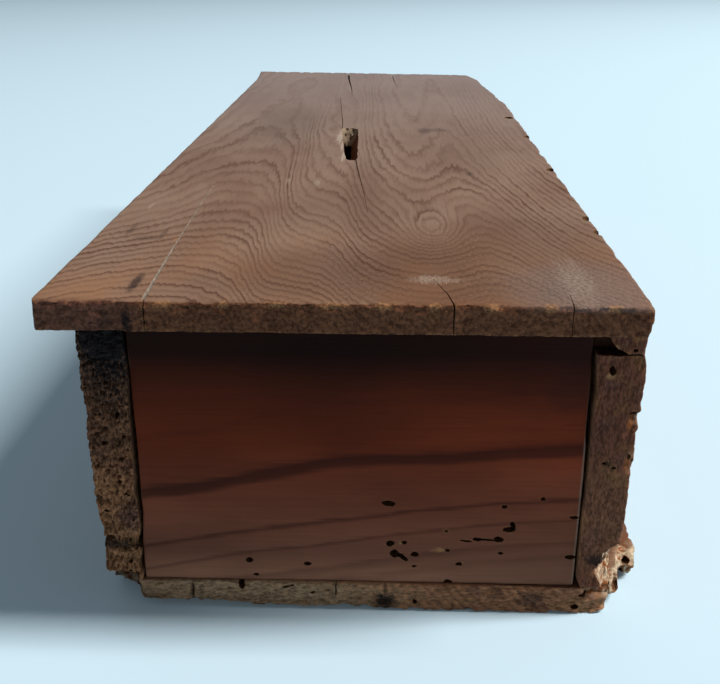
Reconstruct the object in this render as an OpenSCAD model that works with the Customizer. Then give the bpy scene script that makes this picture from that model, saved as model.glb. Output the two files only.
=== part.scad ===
// Alms box: a long box of nailed boards with a coin slot in its hinged lid.
// Millimetres. The table is z = 0, the near end faces -Y and the hinged long side faces +X.

/* [Box] */
// Width across the outer faces of the two side boards
body_w = 132; // [100:1:180]
// Length of the side boards
body_l = 414; // [300:1:520]
// Height of the side boards and the end panels
side_h = 72; // [50:0.5:110]
// Thickness of the left side board
left_side_t = 10.2; // [8:0.1:14]
// Thickness of the right side board, which carries the hinges
right_side_t = 10.4; // [9:0.1:14]
// Worn radius along the outer edges of the side boards
side_edge_r = 0.8; // [0.2:0.1:2]
// Thickness of the end panels
panel_t = 10; // [9:0.1:14]
// How far the end panels stand back from the side boards' ends
panel_setback = 1; // [0:0.1:3]
// Shrinkage gap between an end panel and the left side board
panel_gap_left = 0.9; // [0.1:0.1:2]
// Shrinkage gap between an end panel and the right side board
panel_gap_right = 0.9; // [0.1:0.1:2]

/* [Bottom board] */
// Thickness of the bottom board
bottom_t = 8; // [6:0.1:12]
// How far the bottom board stands out past the right side board
bottom_ledge = 9.5; // [4:0.5:15]

/* [Lid] */
// Thickness of the lid
lid_t = 7.2; // [6:0.1:10]
// How far the lid stands out past the left side board, as a finger lip
lid_lip = 8; // [3:0.5:14]
// How far the lid stands out past each end of the box
lid_end_overhang = 8; // [3:0.5:14]
// Gap between the rim of the box and the underside of the lid
lid_seam = 0.1; // [0.05:0.05:0.5]
// Worn radius along the long upper edges of the lid
lid_edge_r = 1; // [0.3:0.1:2]
// How far the underside of the lip is worn back
lip_undercut = 1.4; // [0.2:0.1:3]

/* [Coin slot] */
// Length of the slot
slot_l = 72; // [40:1:110]
// Width of the slot at its near end
slot_near_w = 5; // [4.5:0.1:9]
// Width of the slot at its far end
slot_far_w = 7.6; // [4.5:0.1:9]
// Distance from the lid's near end to the slot
slot_from_near_end = 163; // [120:1:180]
// Distance from the lip edge to the middle of the slot's near end
slot_near_from_lip = 66.9; // [50:0.1:80]
// Distance from the lip edge to the middle of the slot's far end
slot_far_from_lip = 63.5; // [50:0.1:80]

/* [Wear and breaks] */
// Width and length of the rounding of the lid's near corner at the lip
lip_corner = [2.4, 9]; // [1:0.1:14]
// Depth of the wear at the far stretch of the lid's back edge
back_wear = 6.2; // [1:0.1:8]
// Length of the worn stretch of the lid's back edge, from the far end
back_wear_l = 128; // [60:1:135]
// Width and length of the lid's missing far back corner
back_corner = [6, 18]; // [1:0.5:30]
// Width and length of the bottom board's missing near corner on the left
bottom_left_break = [12, 9]; // [1:0.5:25]
// Width and length of the bottom board's missing near corner on the right
bottom_right_break = [11, 19]; // [1:0.5:25]
// Width, length and height of the chip off the right side board's lower near corner
side_chip = [4.6, 14, 13]; // [1:0.1:20]
// Depth of the split in the right side board below its rim
split_drop = 6.6; // [4:0.1:10]
// Length of the split, from the near end
split_l = 46; // [10:1:80]
// Opening of the split at the near end
split_open = 0.9; // [0.3:0.1:2]
// Width and length of the sliver that is gone above the split
split_sliver = [5, 8]; // [1:0.1:9]

/* [Hinges] */
// Distance between the middles of the two hinges
hinge_spread = 176; // [100:1:230]
// Length of a hinge
hinge_l = 30; // [24:1:40]
// Thickness of a hinge leaf
leaf_t = 1.2; // [0.8:0.1:1.6]
// Wood left between a leaf's recess and the inside of the box
leaf_land = 2; // [1:0.1:4]
// Outer diameter of the knuckles
knuckle_d = 4; // [3.6:0.1:6]
// Diameter of the hinge pin
pin_d = 1.8; // [1.4:0.1:2.2]
// Diameter of the hammered ends of the hinge pin
pin_head_d = 3; // [2.4:0.1:4]
// Height of the hammered ends of the hinge pin
pin_head_h = 0.8; // [0.4:0.1:1.5]
// Distance from a hinge's middle to its outer tacks
tack_spread = 10; // [8:0.5:11]
// Side of a tack's square shank
tack_shank = 1.6; // [1:0.1:2]
// Diameter of a tack's sunk head
tack_head_d = 4; // [3.4:0.1:5]
// Length of a tack below the box leaf
tack_l = 12; // [8:0.5:18]
// Wood left between the tacks in the lid and its upper face
tack_skin = 1.4; // [0.8:0.1:2.5]

/* [Nails] */
// Side of a nail's square shank under the head
nail_shank = 2.4; // [1.6:0.1:2.8]
// Side of a nail's square shank at the point
nail_point = 0.8; // [0.4:0.1:1.2]
// Diameter of a nail's head
nail_head_d = 5; // [4:0.1:6]
// Height of a nail's head
nail_head_h = 1.1; // [0.6:0.1:2]
// Length of the nails through the side boards
side_nail_l = 26; // [20:1:34]
// Length of the nails through the bottom board
bottom_nail_l = 24; // [18:1:34]
// How deep the heads are sunk in the underside of the box
nail_sink = 0.2; // [0.1:0.1:1]
// Height of the lower side nails above the bottom board
low_nail_rise = 13.5; // [10:0.5:20]
// Depth of the upper side nails below the rim
high_nail_drop = 12; // [10:0.5:20]
// Distance between the two lines of nails in an end panel's thickness
nail_line_split = 4.6; // [3.5:0.1:5.5]
// Distance from an end panel's left edge to its first bottom nail
end_nail_left = 24; // [10:0.5:35]
// Distance from an end panel's right edge to its last bottom nail
end_nail_right = 10.5; // [8:0.5:35]
// Number of bottom nails in each end panel
end_nail_count = 3; // [2:1:4]
// Distance from a side board's end to its first bottom nail
board_nail_margin = 48; // [25:1:80]
// Number of bottom nails in each side board
board_nail_count = 4; // [2:1:6]

/* [Clearances] */
// Gap round the shank and the sunk head of a nail or tack
nail_clear = 0.05; // [0.02:0.01:0.2]
// Gap round a hinge leaf in its recess
leaf_clear = 0.1; // [0.05:0.05:0.3]
// Gap round the hinge pin
pin_clear = 0.03; // [0.02:0.01:0.08]
// Gap between neighbouring knuckles
knuckle_gap = 0.4; // [0.2:0.1:1]
// Gap between the knuckles and the back of the box
knuckle_stand_off = 0.3; // [0.2:0.1:1]

/* [Hidden] */
$fn = 48;

// How far a cut reaches past the face it opens
cut = 1;
NEAR = -1;
FAR = 1;
LEFT = -1;
RIGHT = 1;

// Whole object, centred on the table from lip to ledge
bottom_w = body_w + bottom_ledge;
lid_w = lid_lip + body_w;
lid_l = body_l + 2 * lid_end_overhang;
lip_x = -(lid_lip + bottom_w) / 2;
left_x = lip_x + lid_lip;
right_x = left_x + body_w;
near_y = -body_l / 2;
rim_z = bottom_t + side_h;
lid_z = rim_z + lid_seam;

// End panels between the side boards
panel_x = left_x + left_side_t + panel_gap_left;
panel_w = body_w - left_side_t - right_side_t - panel_gap_left - panel_gap_right;
panel_mid_y = body_l / 2 - panel_setback - panel_t / 2;

// Nail lines: the bottom nails stand outside the side nails in the thickness of an end panel
bottom_line_y = panel_mid_y + nail_line_split / 2;
side_line_y = panel_mid_y - nail_line_split / 2;
side_nail_heights = [bottom_t + low_nail_rise, rim_z - high_nail_drop];
end_nail_step = (panel_w - end_nail_left - end_nail_right) / (end_nail_count - 1);
board_nail_step = (body_l - 2 * board_nail_margin) / (board_nail_count - 1);

// Hinges: the leaves lie in the seam and the knuckles stand behind the back faces
leaf_w = right_side_t - leaf_land;
hinge_x = right_x + knuckle_stand_off + knuckle_d / 2;
hinge_z = rim_z + lid_seam / 2;
knuckle_l = hinge_l / 3;
tack_x = right_x - leaf_w / 2;
tack_spots = [-tack_spread, 0, tack_spread];
lid_tack_l = lid_t - leaf_t - tack_skin;
tack_neck_d = tack_shank * sqrt(2);

// Shares of a form: the flat top of a rose head, a tack's head in its leaf, the steps of a broken edge
rose_top = 0.45;
tack_head_h = 0.75 * leaf_t;
right_step = [0.5, 0.4];
left_step = [0.7, 0.6];

wood_side = "#6b4a35";
wood_panel = "#6a3a26";
wood_bottom = "#7a5a3c";
wood_lid = "#8a6450";
iron = "#4a423d";

function smooth(t) = t * t * (3 - 2 * t);

// Points of a quarter ellipse round a centre, from one angle to the next
function quarter(centre, radii, from) =
  [for (a = [from : 15 : from + 90]) centre + [radii[0] * cos(a), radii[1] * sin(a)]];

// An outline in X and Z carried along Y
module board_along(length) {
  translate([0, length, 0]) rotate([90, 0, 0]) linear_extrude(length) children();
}

// A corner broken off along a slanted plane, with the corner at the origin and the wood towards +X, +Y and +Z
module corner_chip(size) {
  grow = 1 + cut / size[0] + cut / size[1] + cut / size[2];
  reach = size * grow;
  translate([-cut, -cut, -cut])
    polyhedron(
      [[0, 0, 0], [reach[0], 0, 0], [0, reach[1], 0], [0, 0, reach[2]]],
      [[0, 1, 2], [0, 2, 3], [0, 3, 1], [1, 3, 2]]);
}

// A square shank drawn to a point, from its wide end at the origin towards +Z
module drawn_shank(side, point, length) {
  rotate([0, 0, 45])
    cylinder(h = length, d1 = side * sqrt(2), d2 = point * sqrt(2), $fn = 4);
}

// The pit that a shank makes, open at the face
module shank_pit(side, point, length) {
  drawn_shank(side + 2 * nail_clear, point + 2 * nail_clear, length + nail_clear);
  translate([0, 0, -cut]) drawn_shank(side + 2 * nail_clear, side + 2 * nail_clear, cut);
}

// A forged nail with a rose head, the head's underside at the origin and the point towards +Z
module nail(length) {
  drawn_shank(nail_shank, nail_point, length);
  translate([0, 0, -nail_head_h])
    cylinder(h = nail_head_h, d1 = nail_head_d * rose_top, d2 = nail_head_d, $fn = 8);
}

module nail_pit(length) {
  shank_pit(nail_shank, nail_point, length);
}

// The pit of a nail whose head is sunk below the face
module sunk_nail_pit(length) {
  nail_pit(length);
  depth = nail_head_h + nail_sink;
  translate([0, 0, -depth - cut])
    cylinder(h = depth + cut, d = nail_head_d + 2 * nail_clear, $fn = 8);
}

// Places of the nails through a side board into an end panel
module at_corner_nails(side, end) {
  for (z = side_nail_heights)
    translate([side == LEFT ? left_x : right_x, end * side_line_y, z])
      rotate([0, -90 * side, 0]) children();
}

// Places of the nails up through the bottom board into a side board
module at_board_nails(side) {
  x = side == LEFT ? left_x + left_side_t / 2 : right_x - right_side_t / 2;
  for (i = [0 : board_nail_count - 1])
    translate([x, near_y + board_nail_margin + i * board_nail_step, nail_sink + nail_head_h]) children();
}

// Places of the nails up through the bottom board into an end panel
module at_end_nails(end) {
  for (i = [0 : end_nail_count - 1])
    translate([panel_x + end_nail_left + i * end_nail_step, end * bottom_line_y, nail_sink + nail_head_h])
      children();
}

// Place of one hinge along the back of the box
module at_hinge(end) {
  translate([0, end * hinge_spread / 2, 0]) children();
}

// A tack with a sunk head, the top of the head at the origin and the point towards +Z
module tack(length) {
  cylinder(h = tack_head_h, d1 = tack_head_d, d2 = tack_neck_d);
  translate([0, 0, tack_head_h]) drawn_shank(tack_shank, nail_point, length - tack_head_h);
}

// Places of the tacks of the box leaf and of the lid leaf, points into the wood
module at_box_tacks() {
  for (y = tack_spots) translate([tack_x, y, rim_z]) rotate([180, 0, 0]) children();
}

module at_lid_tacks() {
  for (y = tack_spots) translate([tack_x, y, lid_z]) children();
}

// The hole and countersink for a tack in a leaf, from the leaf's face towards +Z
module tack_hole() {
  translate([0, 0, -cut]) cylinder(h = leaf_t + 2 * cut, d = tack_neck_d + 2 * nail_clear);
  cylinder(h = tack_head_h, d1 = tack_head_d + 2 * nail_clear, d2 = tack_neck_d + 2 * nail_clear);
  translate([0, 0, -cut]) cylinder(h = cut, d = tack_head_d + 2 * nail_clear);
}

// The recess of a leaf between two heights, open at the back
module leaf_recess(low, high) {
  translate([right_x - leaf_w - leaf_clear, -hinge_l / 2 - leaf_clear, low])
    cube([leaf_w + leaf_clear + cut, hinge_l + 2 * leaf_clear, high - low]);
}

// A knuckle between two places along the hinge, with the strap that joins it to its leaf
module knuckle(from, to, low) {
  translate([hinge_x, from, hinge_z]) rotate([-90, 0, 0]) cylinder(h = to - from, d = knuckle_d);
  translate([right_x, from, low]) cube([hinge_x - right_x, to - from, leaf_t]);
}

module leaf_plate(low) {
  translate([right_x - leaf_w, -hinge_l / 2, low]) cube([leaf_w, hinge_l, leaf_t]);
}

module pin_bore() {
  translate([hinge_x, -hinge_l / 2 - cut, hinge_z])
    rotate([-90, 0, 0]) cylinder(h = hinge_l + 2 * cut, d = pin_d + 2 * pin_clear);
}

// Leaf on the rim, with the two outer knuckles
module box_leaf() {
  color(iron) difference() {
    union() {
      leaf_plate(rim_z - leaf_t);
      knuckle(-hinge_l / 2, -(knuckle_l + knuckle_gap) / 2, rim_z - leaf_t);
      knuckle((knuckle_l + knuckle_gap) / 2, hinge_l / 2, rim_z - leaf_t);
    }
    pin_bore();
    at_box_tacks() tack_hole();
  }
}

// Leaf in the underside of the lid, with the middle knuckle
module lid_leaf() {
  color(iron) difference() {
    union() {
      leaf_plate(lid_z);
      knuckle(-(knuckle_l - knuckle_gap) / 2, (knuckle_l - knuckle_gap) / 2, lid_z);
    }
    pin_bore();
    at_lid_tacks() tack_hole();
  }
}

module hinge_pin() {
  color(iron) translate([hinge_x, 0, hinge_z]) rotate([-90, 0, 0]) {
    translate([0, 0, -hinge_l / 2]) cylinder(h = hinge_l, d = pin_d);
    for (end = [NEAR, FAR])
      translate([0, 0, end * (hinge_l + pin_head_h) / 2])
        cylinder(h = pin_head_h, d = pin_head_d, center = true);
  }
}

// Section of a side board, from its outer face towards its inner one, with worn outer edges
module side_section(thickness) {
  polygon(concat(
    quarter([side_edge_r, side_edge_r], [side_edge_r, side_edge_r], 180),
    [[thickness, 0], [thickness, side_h]],
    quarter([side_edge_r, side_h - side_edge_r], [side_edge_r, side_edge_r], 90)));
}

module left_side_board() {
  color(wood_side) difference() {
    translate([left_x, near_y, bottom_t]) board_along(body_l) side_section(left_side_t);
    for (end = [NEAR, FAR]) at_corner_nails(LEFT, end) nail_pit(side_nail_l);
    at_board_nails(LEFT) nail_pit(bottom_nail_l);
  }
}

// The split opens at the near end and closes to nothing inside the board
module rim_split() {
  translate([right_x + cut, near_y, rim_z - split_drop]) rotate([90, 0, -90])
    linear_extrude(right_side_t + 2 * cut)
      polygon([[cut, -split_open / 2], [cut, split_open / 2], [-split_l, 0]]);
  translate([right_x - right_side_t - cut, near_y - cut, rim_z - split_drop])
    cube([split_sliver[0] + cut, split_sliver[1] + cut, split_drop + cut]);
}

module right_side_board() {
  color(wood_side) difference() {
    translate([right_x, near_y, bottom_t]) mirror([1, 0, 0]) board_along(body_l) side_section(right_side_t);
    for (end = [NEAR, FAR]) {
      at_corner_nails(RIGHT, end) nail_pit(side_nail_l);
      at_hinge(end) leaf_recess(rim_z - leaf_t, rim_z + cut);
      at_hinge(end) at_box_tacks() shank_pit(tack_shank, nail_point, tack_l);
    }
    at_board_nails(RIGHT) nail_pit(bottom_nail_l);
    rim_split();
    translate([right_x, near_y, bottom_t]) mirror([1, 0, 0]) corner_chip(side_chip);
  }
}

module end_panel(end) {
  color(wood_panel) difference() {
    translate([panel_x, end * panel_mid_y - panel_t / 2, bottom_t]) cube([panel_w, panel_t, side_h]);
    for (side = [LEFT, RIGHT]) at_corner_nails(side, end) nail_pit(side_nail_l);
    at_end_nails(end) nail_pit(bottom_nail_l);
  }
}

// Outline of the bottom board from its near left corner, with both near corners broken away
module bottom_outline() {
  left = bottom_left_break;
  right = bottom_right_break;
  polygon([
    [left[0], 0], [bottom_w - right[0], 0],
    [bottom_w - right[0] * right_step[0], right[1] * right_step[1]], [bottom_w, right[1]],
    [bottom_w, body_l], [0, body_l],
    [0, left[1]], [left[0] * left_step[0], left[1] * left_step[1]]]);
}

module bottom_board() {
  color(wood_bottom) difference() {
    translate([left_x, near_y, 0]) linear_extrude(bottom_t) bottom_outline();
    for (side = [LEFT, RIGHT]) at_board_nails(side) sunk_nail_pit(bottom_nail_l);
    for (end = [NEAR, FAR]) at_end_nails(end) sunk_nail_pit(bottom_nail_l);
  }
}

// Outline of the lid from its lip and its near end
module lid_outline() {
  worn_l = back_wear_l - back_corner[1];
  polygon(concat(
    quarter(lip_corner, lip_corner, 180),
    [[lid_w, 0]],
    [for (t = [0 : 0.125 : 1]) [lid_w - back_wear * smooth(t), lid_l - back_wear_l + worn_l * t]],
    [[lid_w - back_wear - back_corner[0], lid_l], [0, lid_l]]));
}

// Section of the lid from its lip, with worn upper edges and an undercut lip
module lid_section() {
  radii = [lid_edge_r, lid_edge_r];
  polygon(concat(
    [[lip_undercut, 0], [lid_w, 0]],
    quarter([lid_w, lid_t] - radii, radii, 0),
    quarter([lid_edge_r, lid_t - lid_edge_r], radii, 90)));
}

module slot_outline() {
  far_end = slot_from_near_end + slot_l;
  polygon([
    [slot_near_from_lip - slot_near_w / 2, slot_from_near_end],
    [slot_near_from_lip + slot_near_w / 2, slot_from_near_end],
    [slot_far_from_lip + slot_far_w / 2, far_end],
    [slot_far_from_lip - slot_far_w / 2, far_end]]);
}

module lid_board() {
  color(wood_lid) difference() {
    translate([lip_x, -lid_l / 2, lid_z]) difference() {
      intersection() {
        linear_extrude(lid_t) lid_outline();
        board_along(lid_l) lid_section();
      }
      translate([0, 0, -cut]) linear_extrude(lid_t + 2 * cut) slot_outline();
    }
    for (end = [NEAR, FAR]) at_hinge(end) {
      leaf_recess(lid_z - cut, lid_z + leaf_t);
      at_lid_tacks() shank_pit(tack_shank, nail_point, leaf_t + lid_tack_l);
    }
  }
}

module corner_nails(side, end) {
  color(iron) at_corner_nails(side, end) nail(side_nail_l);
}

module board_nails(side) {
  color(iron) at_board_nails(side) nail(bottom_nail_l);
}

module end_nails(end) {
  color(iron) at_end_nails(end) nail(bottom_nail_l);
}

module box_tacks() {
  color(iron) at_box_tacks() tack(tack_l);
}

module lid_tacks() {
  color(iron) at_lid_tacks() tack(leaf_t + lid_tack_l);
}

left_side_board();
right_side_board();
end_panel(NEAR);  // near_end_panel
end_panel(FAR);  // far_end_panel
bottom_board();
lid_board();
corner_nails(LEFT, NEAR);  // near_panel_left_nails
corner_nails(RIGHT, NEAR);  // near_panel_right_nails
corner_nails(LEFT, FAR);  // far_panel_left_nails
corner_nails(RIGHT, FAR);  // far_panel_right_nails
board_nails(LEFT);  // bottom_left_nails
board_nails(RIGHT);  // bottom_right_nails
end_nails(NEAR);  // bottom_near_nails
end_nails(FAR);  // bottom_far_nails
at_hinge(NEAR) box_leaf();  // near_hinge_box_leaf
at_hinge(NEAR) lid_leaf();  // near_hinge_lid_leaf
at_hinge(NEAR) hinge_pin();  // near_hinge_pin
at_hinge(NEAR) box_tacks();  // near_hinge_box_tacks
at_hinge(NEAR) lid_tacks();  // near_hinge_lid_tacks
at_hinge(FAR) box_leaf();  // far_hinge_box_leaf
at_hinge(FAR) lid_leaf();  // far_hinge_lid_leaf
at_hinge(FAR) hinge_pin();  // far_hinge_pin
at_hinge(FAR) box_tacks();  // far_hinge_box_tacks
at_hinge(FAR) lid_tacks();  // far_hinge_lid_tacks
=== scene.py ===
"""Dresses the alms box: worn, worm-eaten pine boards, forged nails and iron hinges on a pale studio floor."""

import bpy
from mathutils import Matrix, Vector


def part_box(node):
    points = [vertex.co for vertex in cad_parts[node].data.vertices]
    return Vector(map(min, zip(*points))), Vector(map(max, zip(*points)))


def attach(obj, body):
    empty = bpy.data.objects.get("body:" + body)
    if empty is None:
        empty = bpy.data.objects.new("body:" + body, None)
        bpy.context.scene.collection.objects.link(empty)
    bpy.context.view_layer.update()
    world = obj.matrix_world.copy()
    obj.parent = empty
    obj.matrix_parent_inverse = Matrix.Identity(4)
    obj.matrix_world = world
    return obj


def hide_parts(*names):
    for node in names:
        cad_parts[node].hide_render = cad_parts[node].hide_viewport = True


bl_info = {
    "name": "Worn Alms Box",
    "version": (1, 0, 0),
    "blender": (4, 5, 0),
    "location": "3D View > Sidebar > Alms Box",
    "description": "Builds the worn pine boards, forged nails and hinges of an old alms box on its CAD frame",
    "category": "Add Mesh",
}

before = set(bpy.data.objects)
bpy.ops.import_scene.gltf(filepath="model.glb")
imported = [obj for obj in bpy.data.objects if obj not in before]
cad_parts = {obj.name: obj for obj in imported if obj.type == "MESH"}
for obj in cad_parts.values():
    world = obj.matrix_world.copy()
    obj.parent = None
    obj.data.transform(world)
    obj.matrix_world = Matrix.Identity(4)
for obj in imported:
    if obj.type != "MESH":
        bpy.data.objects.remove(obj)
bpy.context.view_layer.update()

import math

import bpy
import numpy as np
from mathutils import Matrix, Vector, noise

# One millimetre in Blender's metres; mesh code and materials work in millimetres
MM = 0.001
X, Y, Z = 0, 1, 2

# Nails: how many in each row of the CAD model, and their sizes
CORNER_NAILS = 2
BOARD_NAILS = 4
END_NAILS = 3
NAIL_HEAD = 5.0
NAIL_SHANK = 2.4
NAIL_POINT = 0.8
NAIL_RISE = 1.1
# Hammer dents of the nails: how many in a metre, and how deep
DENTS_PER_METRE = 450.0
DENT = 0.5
# Rows of nails in the bottom: CAD node, nails in it and the axis they are spaced along
BOTTOM_NAILS = (("bottom_left_nails", BOARD_NAILS, Y), ("bottom_right_nails", BOARD_NAILS, Y),
                ("bottom_near_nails", END_NAILS, X), ("bottom_far_nails", END_NAILS, X))
# Rows of nails in the sides: CAD node and the way the nails point along X
SIDE_NAILS = (("near_panel_left_nails", 1), ("near_panel_right_nails", -1),
              ("far_panel_left_nails", 1), ("far_panel_right_nails", -1))

# Depth of a hinge leaf's bed, and how far the bed is cut past the board's edge
LEAF = 1.3
RECESS_RUN_OUT = 6
# Play between a leaf and its bed
BED_PLAY = 0.15

# Edges that bend more than this, in degrees, stay crisp
SHARP_EDGE = 38

# Growth rings counted across the lid from its lip, as (millimetres, rings)
LID_WIDTH = 140
LID_RINGS = 28
LID_RINGS_ACROSS = (
    (0, 3.6), (140, 28), (15, 1.3), (33, 0), (42, 1.2), (46, 3.2), (50, 6), (53, 7.2), (60, 8.3), (66, 9.5),
    (70, 11.5), (75, 14), (80, 15.2), (86, 16.2), (92, 16.6), (98, 16.2), (105, 15.6), (110, 16.4),
    (116, 18.5), (124, 22), (132, 25.5))
# Growth rings along the lid: how many in all, and the length over which they thin out
LID_RINGS_ALONG = 22.4
LID_RING_RUN = 83
# How far the fibres tear the edges of the rings, in rings
LID_RING_TEETH = 0.9
# The eye in the lid's grain: its middle, its radii and the rings it adds
LID_EYE = (93.5, 64, 0)
LID_EYE_RADII = (7, 20, 1)
LID_EYE_RINGS = 4.6
# Softwood ring: pale earlywood darkens slowly to latewood, which stops short
RING_PROFILE = ((0, 0.3), (1, 0.3), (0.13, 0), (0.42, 0.06), (0.66, 0.5), (0.85, 1), (0.94, 0.75))
# Cracks in the lid: path from its lip and its near end, half widths and depths at both ends of the path
LID_CRACKS = (
    (((68.2, 164), (69.2, 150), (70.7, 132), (72.7, 108), (74.5, 83)), (0.24, 0.06), (3, 0.6)),
    (((59.9, 234), (59.4, 250), (57.1, 288), (54.6, 330)), (0.22, 0.12), (3, 0.8)),
    (((60.3, 342), (59.6, 360), (58.4, 378), (56.6, 402), (54.9, 428.5)), (0.12, 0.6), (1, 3)),
    (((84.9, 374), (83.4, 400), (81.8, 431)), (0.06, 0.3), (0.5, 4)),
    (((25.9, -1), (26.0, 2), (25.7, 6)), (0.26, 0.1), (9, 1)),
    (((95.7, -1), (94.4, 8), (91.5, 19)), (0.24, 0.08), (9, 1)),
    (((121.9, -1), (122.1, 4), (122.4, 9)), (0.16, 0.05), (9, 0.5)))
# Pale flecks along the lid's near arris: place from the lip and half length
LID_FLECKS = (
    (30.5, 2.2), (44, 1.2), (55.5, 2.8), (68.7, 3), (80, 2.2), (91, 1.4), (104, 2.2), (117, 1.6),
    (131, 1.8))
# Middle and radii of a fleck along the lid and upwards, and its strength
FLECK_PLACE = (0.3, 6.8)
FLECK_RADII = (1.5, 1.1)
FLECK_STRENGTH = 0.6
# How far the slot's right wall leans in under its upper edge
SLOT_LEAN = 3.8
# The long crack that dust has filled
LID_DUSTY_CRACK = (((25.7, 2), (25.3, 12), (24.8, 24), (24.2, 40), (24.0, 46), (23.4, 70), (22.6, 100),
                    (22.3, 119)), (0.8, 0.22), (0.4, 0.25))
# Bites out of the lid's back edge, from its lip and its near end
LID_BITES = ((136.5, 267), (139.2, 216), (139.0, 148), (139.4, 78.5), (139.8, 63))
# Height of a bite above the lid's underside, and its half sizes
BITE_HEIGHT = 7.2
BITE = (2.0, 2.8, 3.4)
# How far the lid's far end curls up at its lip and at its back edge, and over what length
LID_CURL = (2.6, 0.9)
LID_CURL_RUN = 26
# Radius of the lid's lower arrises
LID_LOWER_ARRIS = 0.3
# Rounding of the lip's near corner, and the corner lost from the far end of the back edge: run and depth
LIP_CORNER = (1.5, 4)
LOST_CORNER = (18, 6)

# Steps of the grid on each board's faces along X, Y and Z: at the edges, in the middle, and their growth
LID_GRID = ((0.4, 0.9, 1.05), (0.4, 2.5, 1.07), (0.45, 0.6))
SIDE_GRID = ((0.32, 0.36), (0.4, 7, 1.12), (0.36, 0.42))
PANEL_GRID = ((0.4, 2.5), (0.4, 1.2), (0.4, 2.5))
BOTTOM_GRID = ((0.45, 0.62), (0.5, 6, 1.06), (0.45, 0.6))
# Pits in the end grain, as layers: share of the depth, size of the patches, where they start, and seed step
LID_END_PITS = ((0.6, (2.4, 40, 1.3), -0.1, 0), (0.4, (0.9, 40, 0.7), -0.2, 0))
LEFT_END_PITS = (
    (0.4, (3.5, 60, 2.2), 0, 0), (0.36, (0.8, 60, 1.5), -0.1, 1), (0.22, (0.5, 60, 0.7), -0.2, 2))
RIGHT_END_PITS = ((0.22, (1.2, 60, 5), 0.0, 0), (0.14, (0.7, 60, 0.9), -0.2, 1))
BOTTOM_END_PITS = (
    (0.3, (5, 60, 2.5), 0, 0), (0.18, (1.3, 60, 1.1), -0.1, 1), (0.15, (0.7, 60, 0.6), -0.2, 2))

# Marks on the lid: tint, middle from the lip, the near end and the underside, radii, and strength
LID_MARKS = (
    ("lid_late", (60, 22, 7.2), (22, 26, 1.5), 0.4), ("lid_late", (118, 50, 7.2), (24, 40, 1.5), 0.3),
    ("lid_late", (70, 95, 7.2), (26, 40, 1.5), 0.2), ("lid_late", (89, 22, 7.2), (20, 44, 1.5), 0.42),
    ("lid_late", (110, 8, 7.2), (15, 15, 1.5), 0.3), ("lid_late", (72.5, 115, 7.2), (7, 60, 1.5), 0.22),
    ("lid_late", (109, 165, 7.2), (14, 40, 1.5), 0.2), ("lid_late", (48, 0, 4), (16, 3, 7), 0.3),
    ("lid_grey", (128, 10, 7.2), (20, 26, 1.5), 0.4), ("iron_stain", (128, 10, 7.2), (20, 26, 1.5), 0.15),
    ("mauve", (9, 0, 4), (17, 3, 7), 0.45), ("iron_stain", (21.1, 14, 7.2), (1.3, 8, 1.5), 0.75),
    ("iron_stain", (8.6, 62, 7.2), (1.0, 8, 1.5), 0.35), ("iron_stain", (15, 53, 7.2), (4, 2.5, 1.5), 0.3),
    ("iron_stain", (18.6, 57, 7.2), (0.9, 6, 1.5), 0.35),
    ("iron_stain", (95.7, 229, 7.2), (3, 8, 1.5), 0.4), ("iron_stain", (101, 231, 7.2), (5, 5, 1.5), 0.3),
    ("iron_stain", (109, 140, 7.2), (1.6, 4, 1.5), 0.4),
    ("iron_stain", (35, 250, 7.2), (18, 60, 1.5), 0.22), ("iron_stain", (21.7, 0, 2.5), (1.4, 3, 3.4), 0.9),
    ("iron_stain", (17, 0, 2), (5, 3, 2.5), 0.35))
# Scuffs on the lid and by its slot, written in the same way
LID_SCUFFS = (
    ("scuff", (56.4, 123, 7.2), (1.1, 5, 1.5), 0.35), ("scuff", (46.5, 127, 7.2), (0.9, 4, 1.5), 0.35),
    ("scuff", (7.9, 90, 7.2), (0.7, 5, 1.5), 0.4), ("scuff", (91.3, 18.7, 7.2), (6.5, 3, 1.5), 0.4),
    ("scuff", (125.5, 20, 7.2), (4, 18, 1.5), 0.22), ("scuff", (63.4, 170, 7.2), (1.3, 12, 1.5), 0.9),
    ("scuff", (61.9, 192, 7.2), (1.2, 14, 1.5), 0.8), ("scuff", (60.2, 215, 7.2), (1.4, 16, 1.5), 0.9))
# Marks on the near ends of the side boards, from each board's lowest near corner
LEFT_MARKS = (
    ("dry_arris", (5, 0, 8), (12, 5, 18), 0.3), ("dry_aged", (5, 0, 47), (14, 12, 18), 0.6),
    ("iron_stain", (4.5, 0, 10.5), (8, 5, 1.8), 0.8), ("iron_stain", (5, 0, 40), (7, 5, 1.2), 0.35),
    # The iron_stain mark high on the end, at 72 up, is painted shade of the lid's overhang over stained end
    # grain
    ("iron_stain", (6, 0, 72), (14, 12, 25), 1.0), ("mauve", (8, 0, 18.5), (3.5, 5, 4.5), 0.7))
RIGHT_MARKS = (
    ("dry_early", (5, 0, 20), (11, 9, 20), 0.35), ("iron_stain", (4.5, 0, 8.5), (3, 4, 2), 0.8),
    ("iron_stain", (5, 0, 36), (1.6, 4, 1), 0.6), ("dry_arris", (3.8, 0, 59.3), (1.3, 4, 1.0), 0.8),
    ("broken_deep", (9.6, 0, 47.5), (1.0, 6, 2.6), 0.8), ("broken_deep", (9.8, 0, 36), (1.0, 6, 2.4), 0.6))
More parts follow.
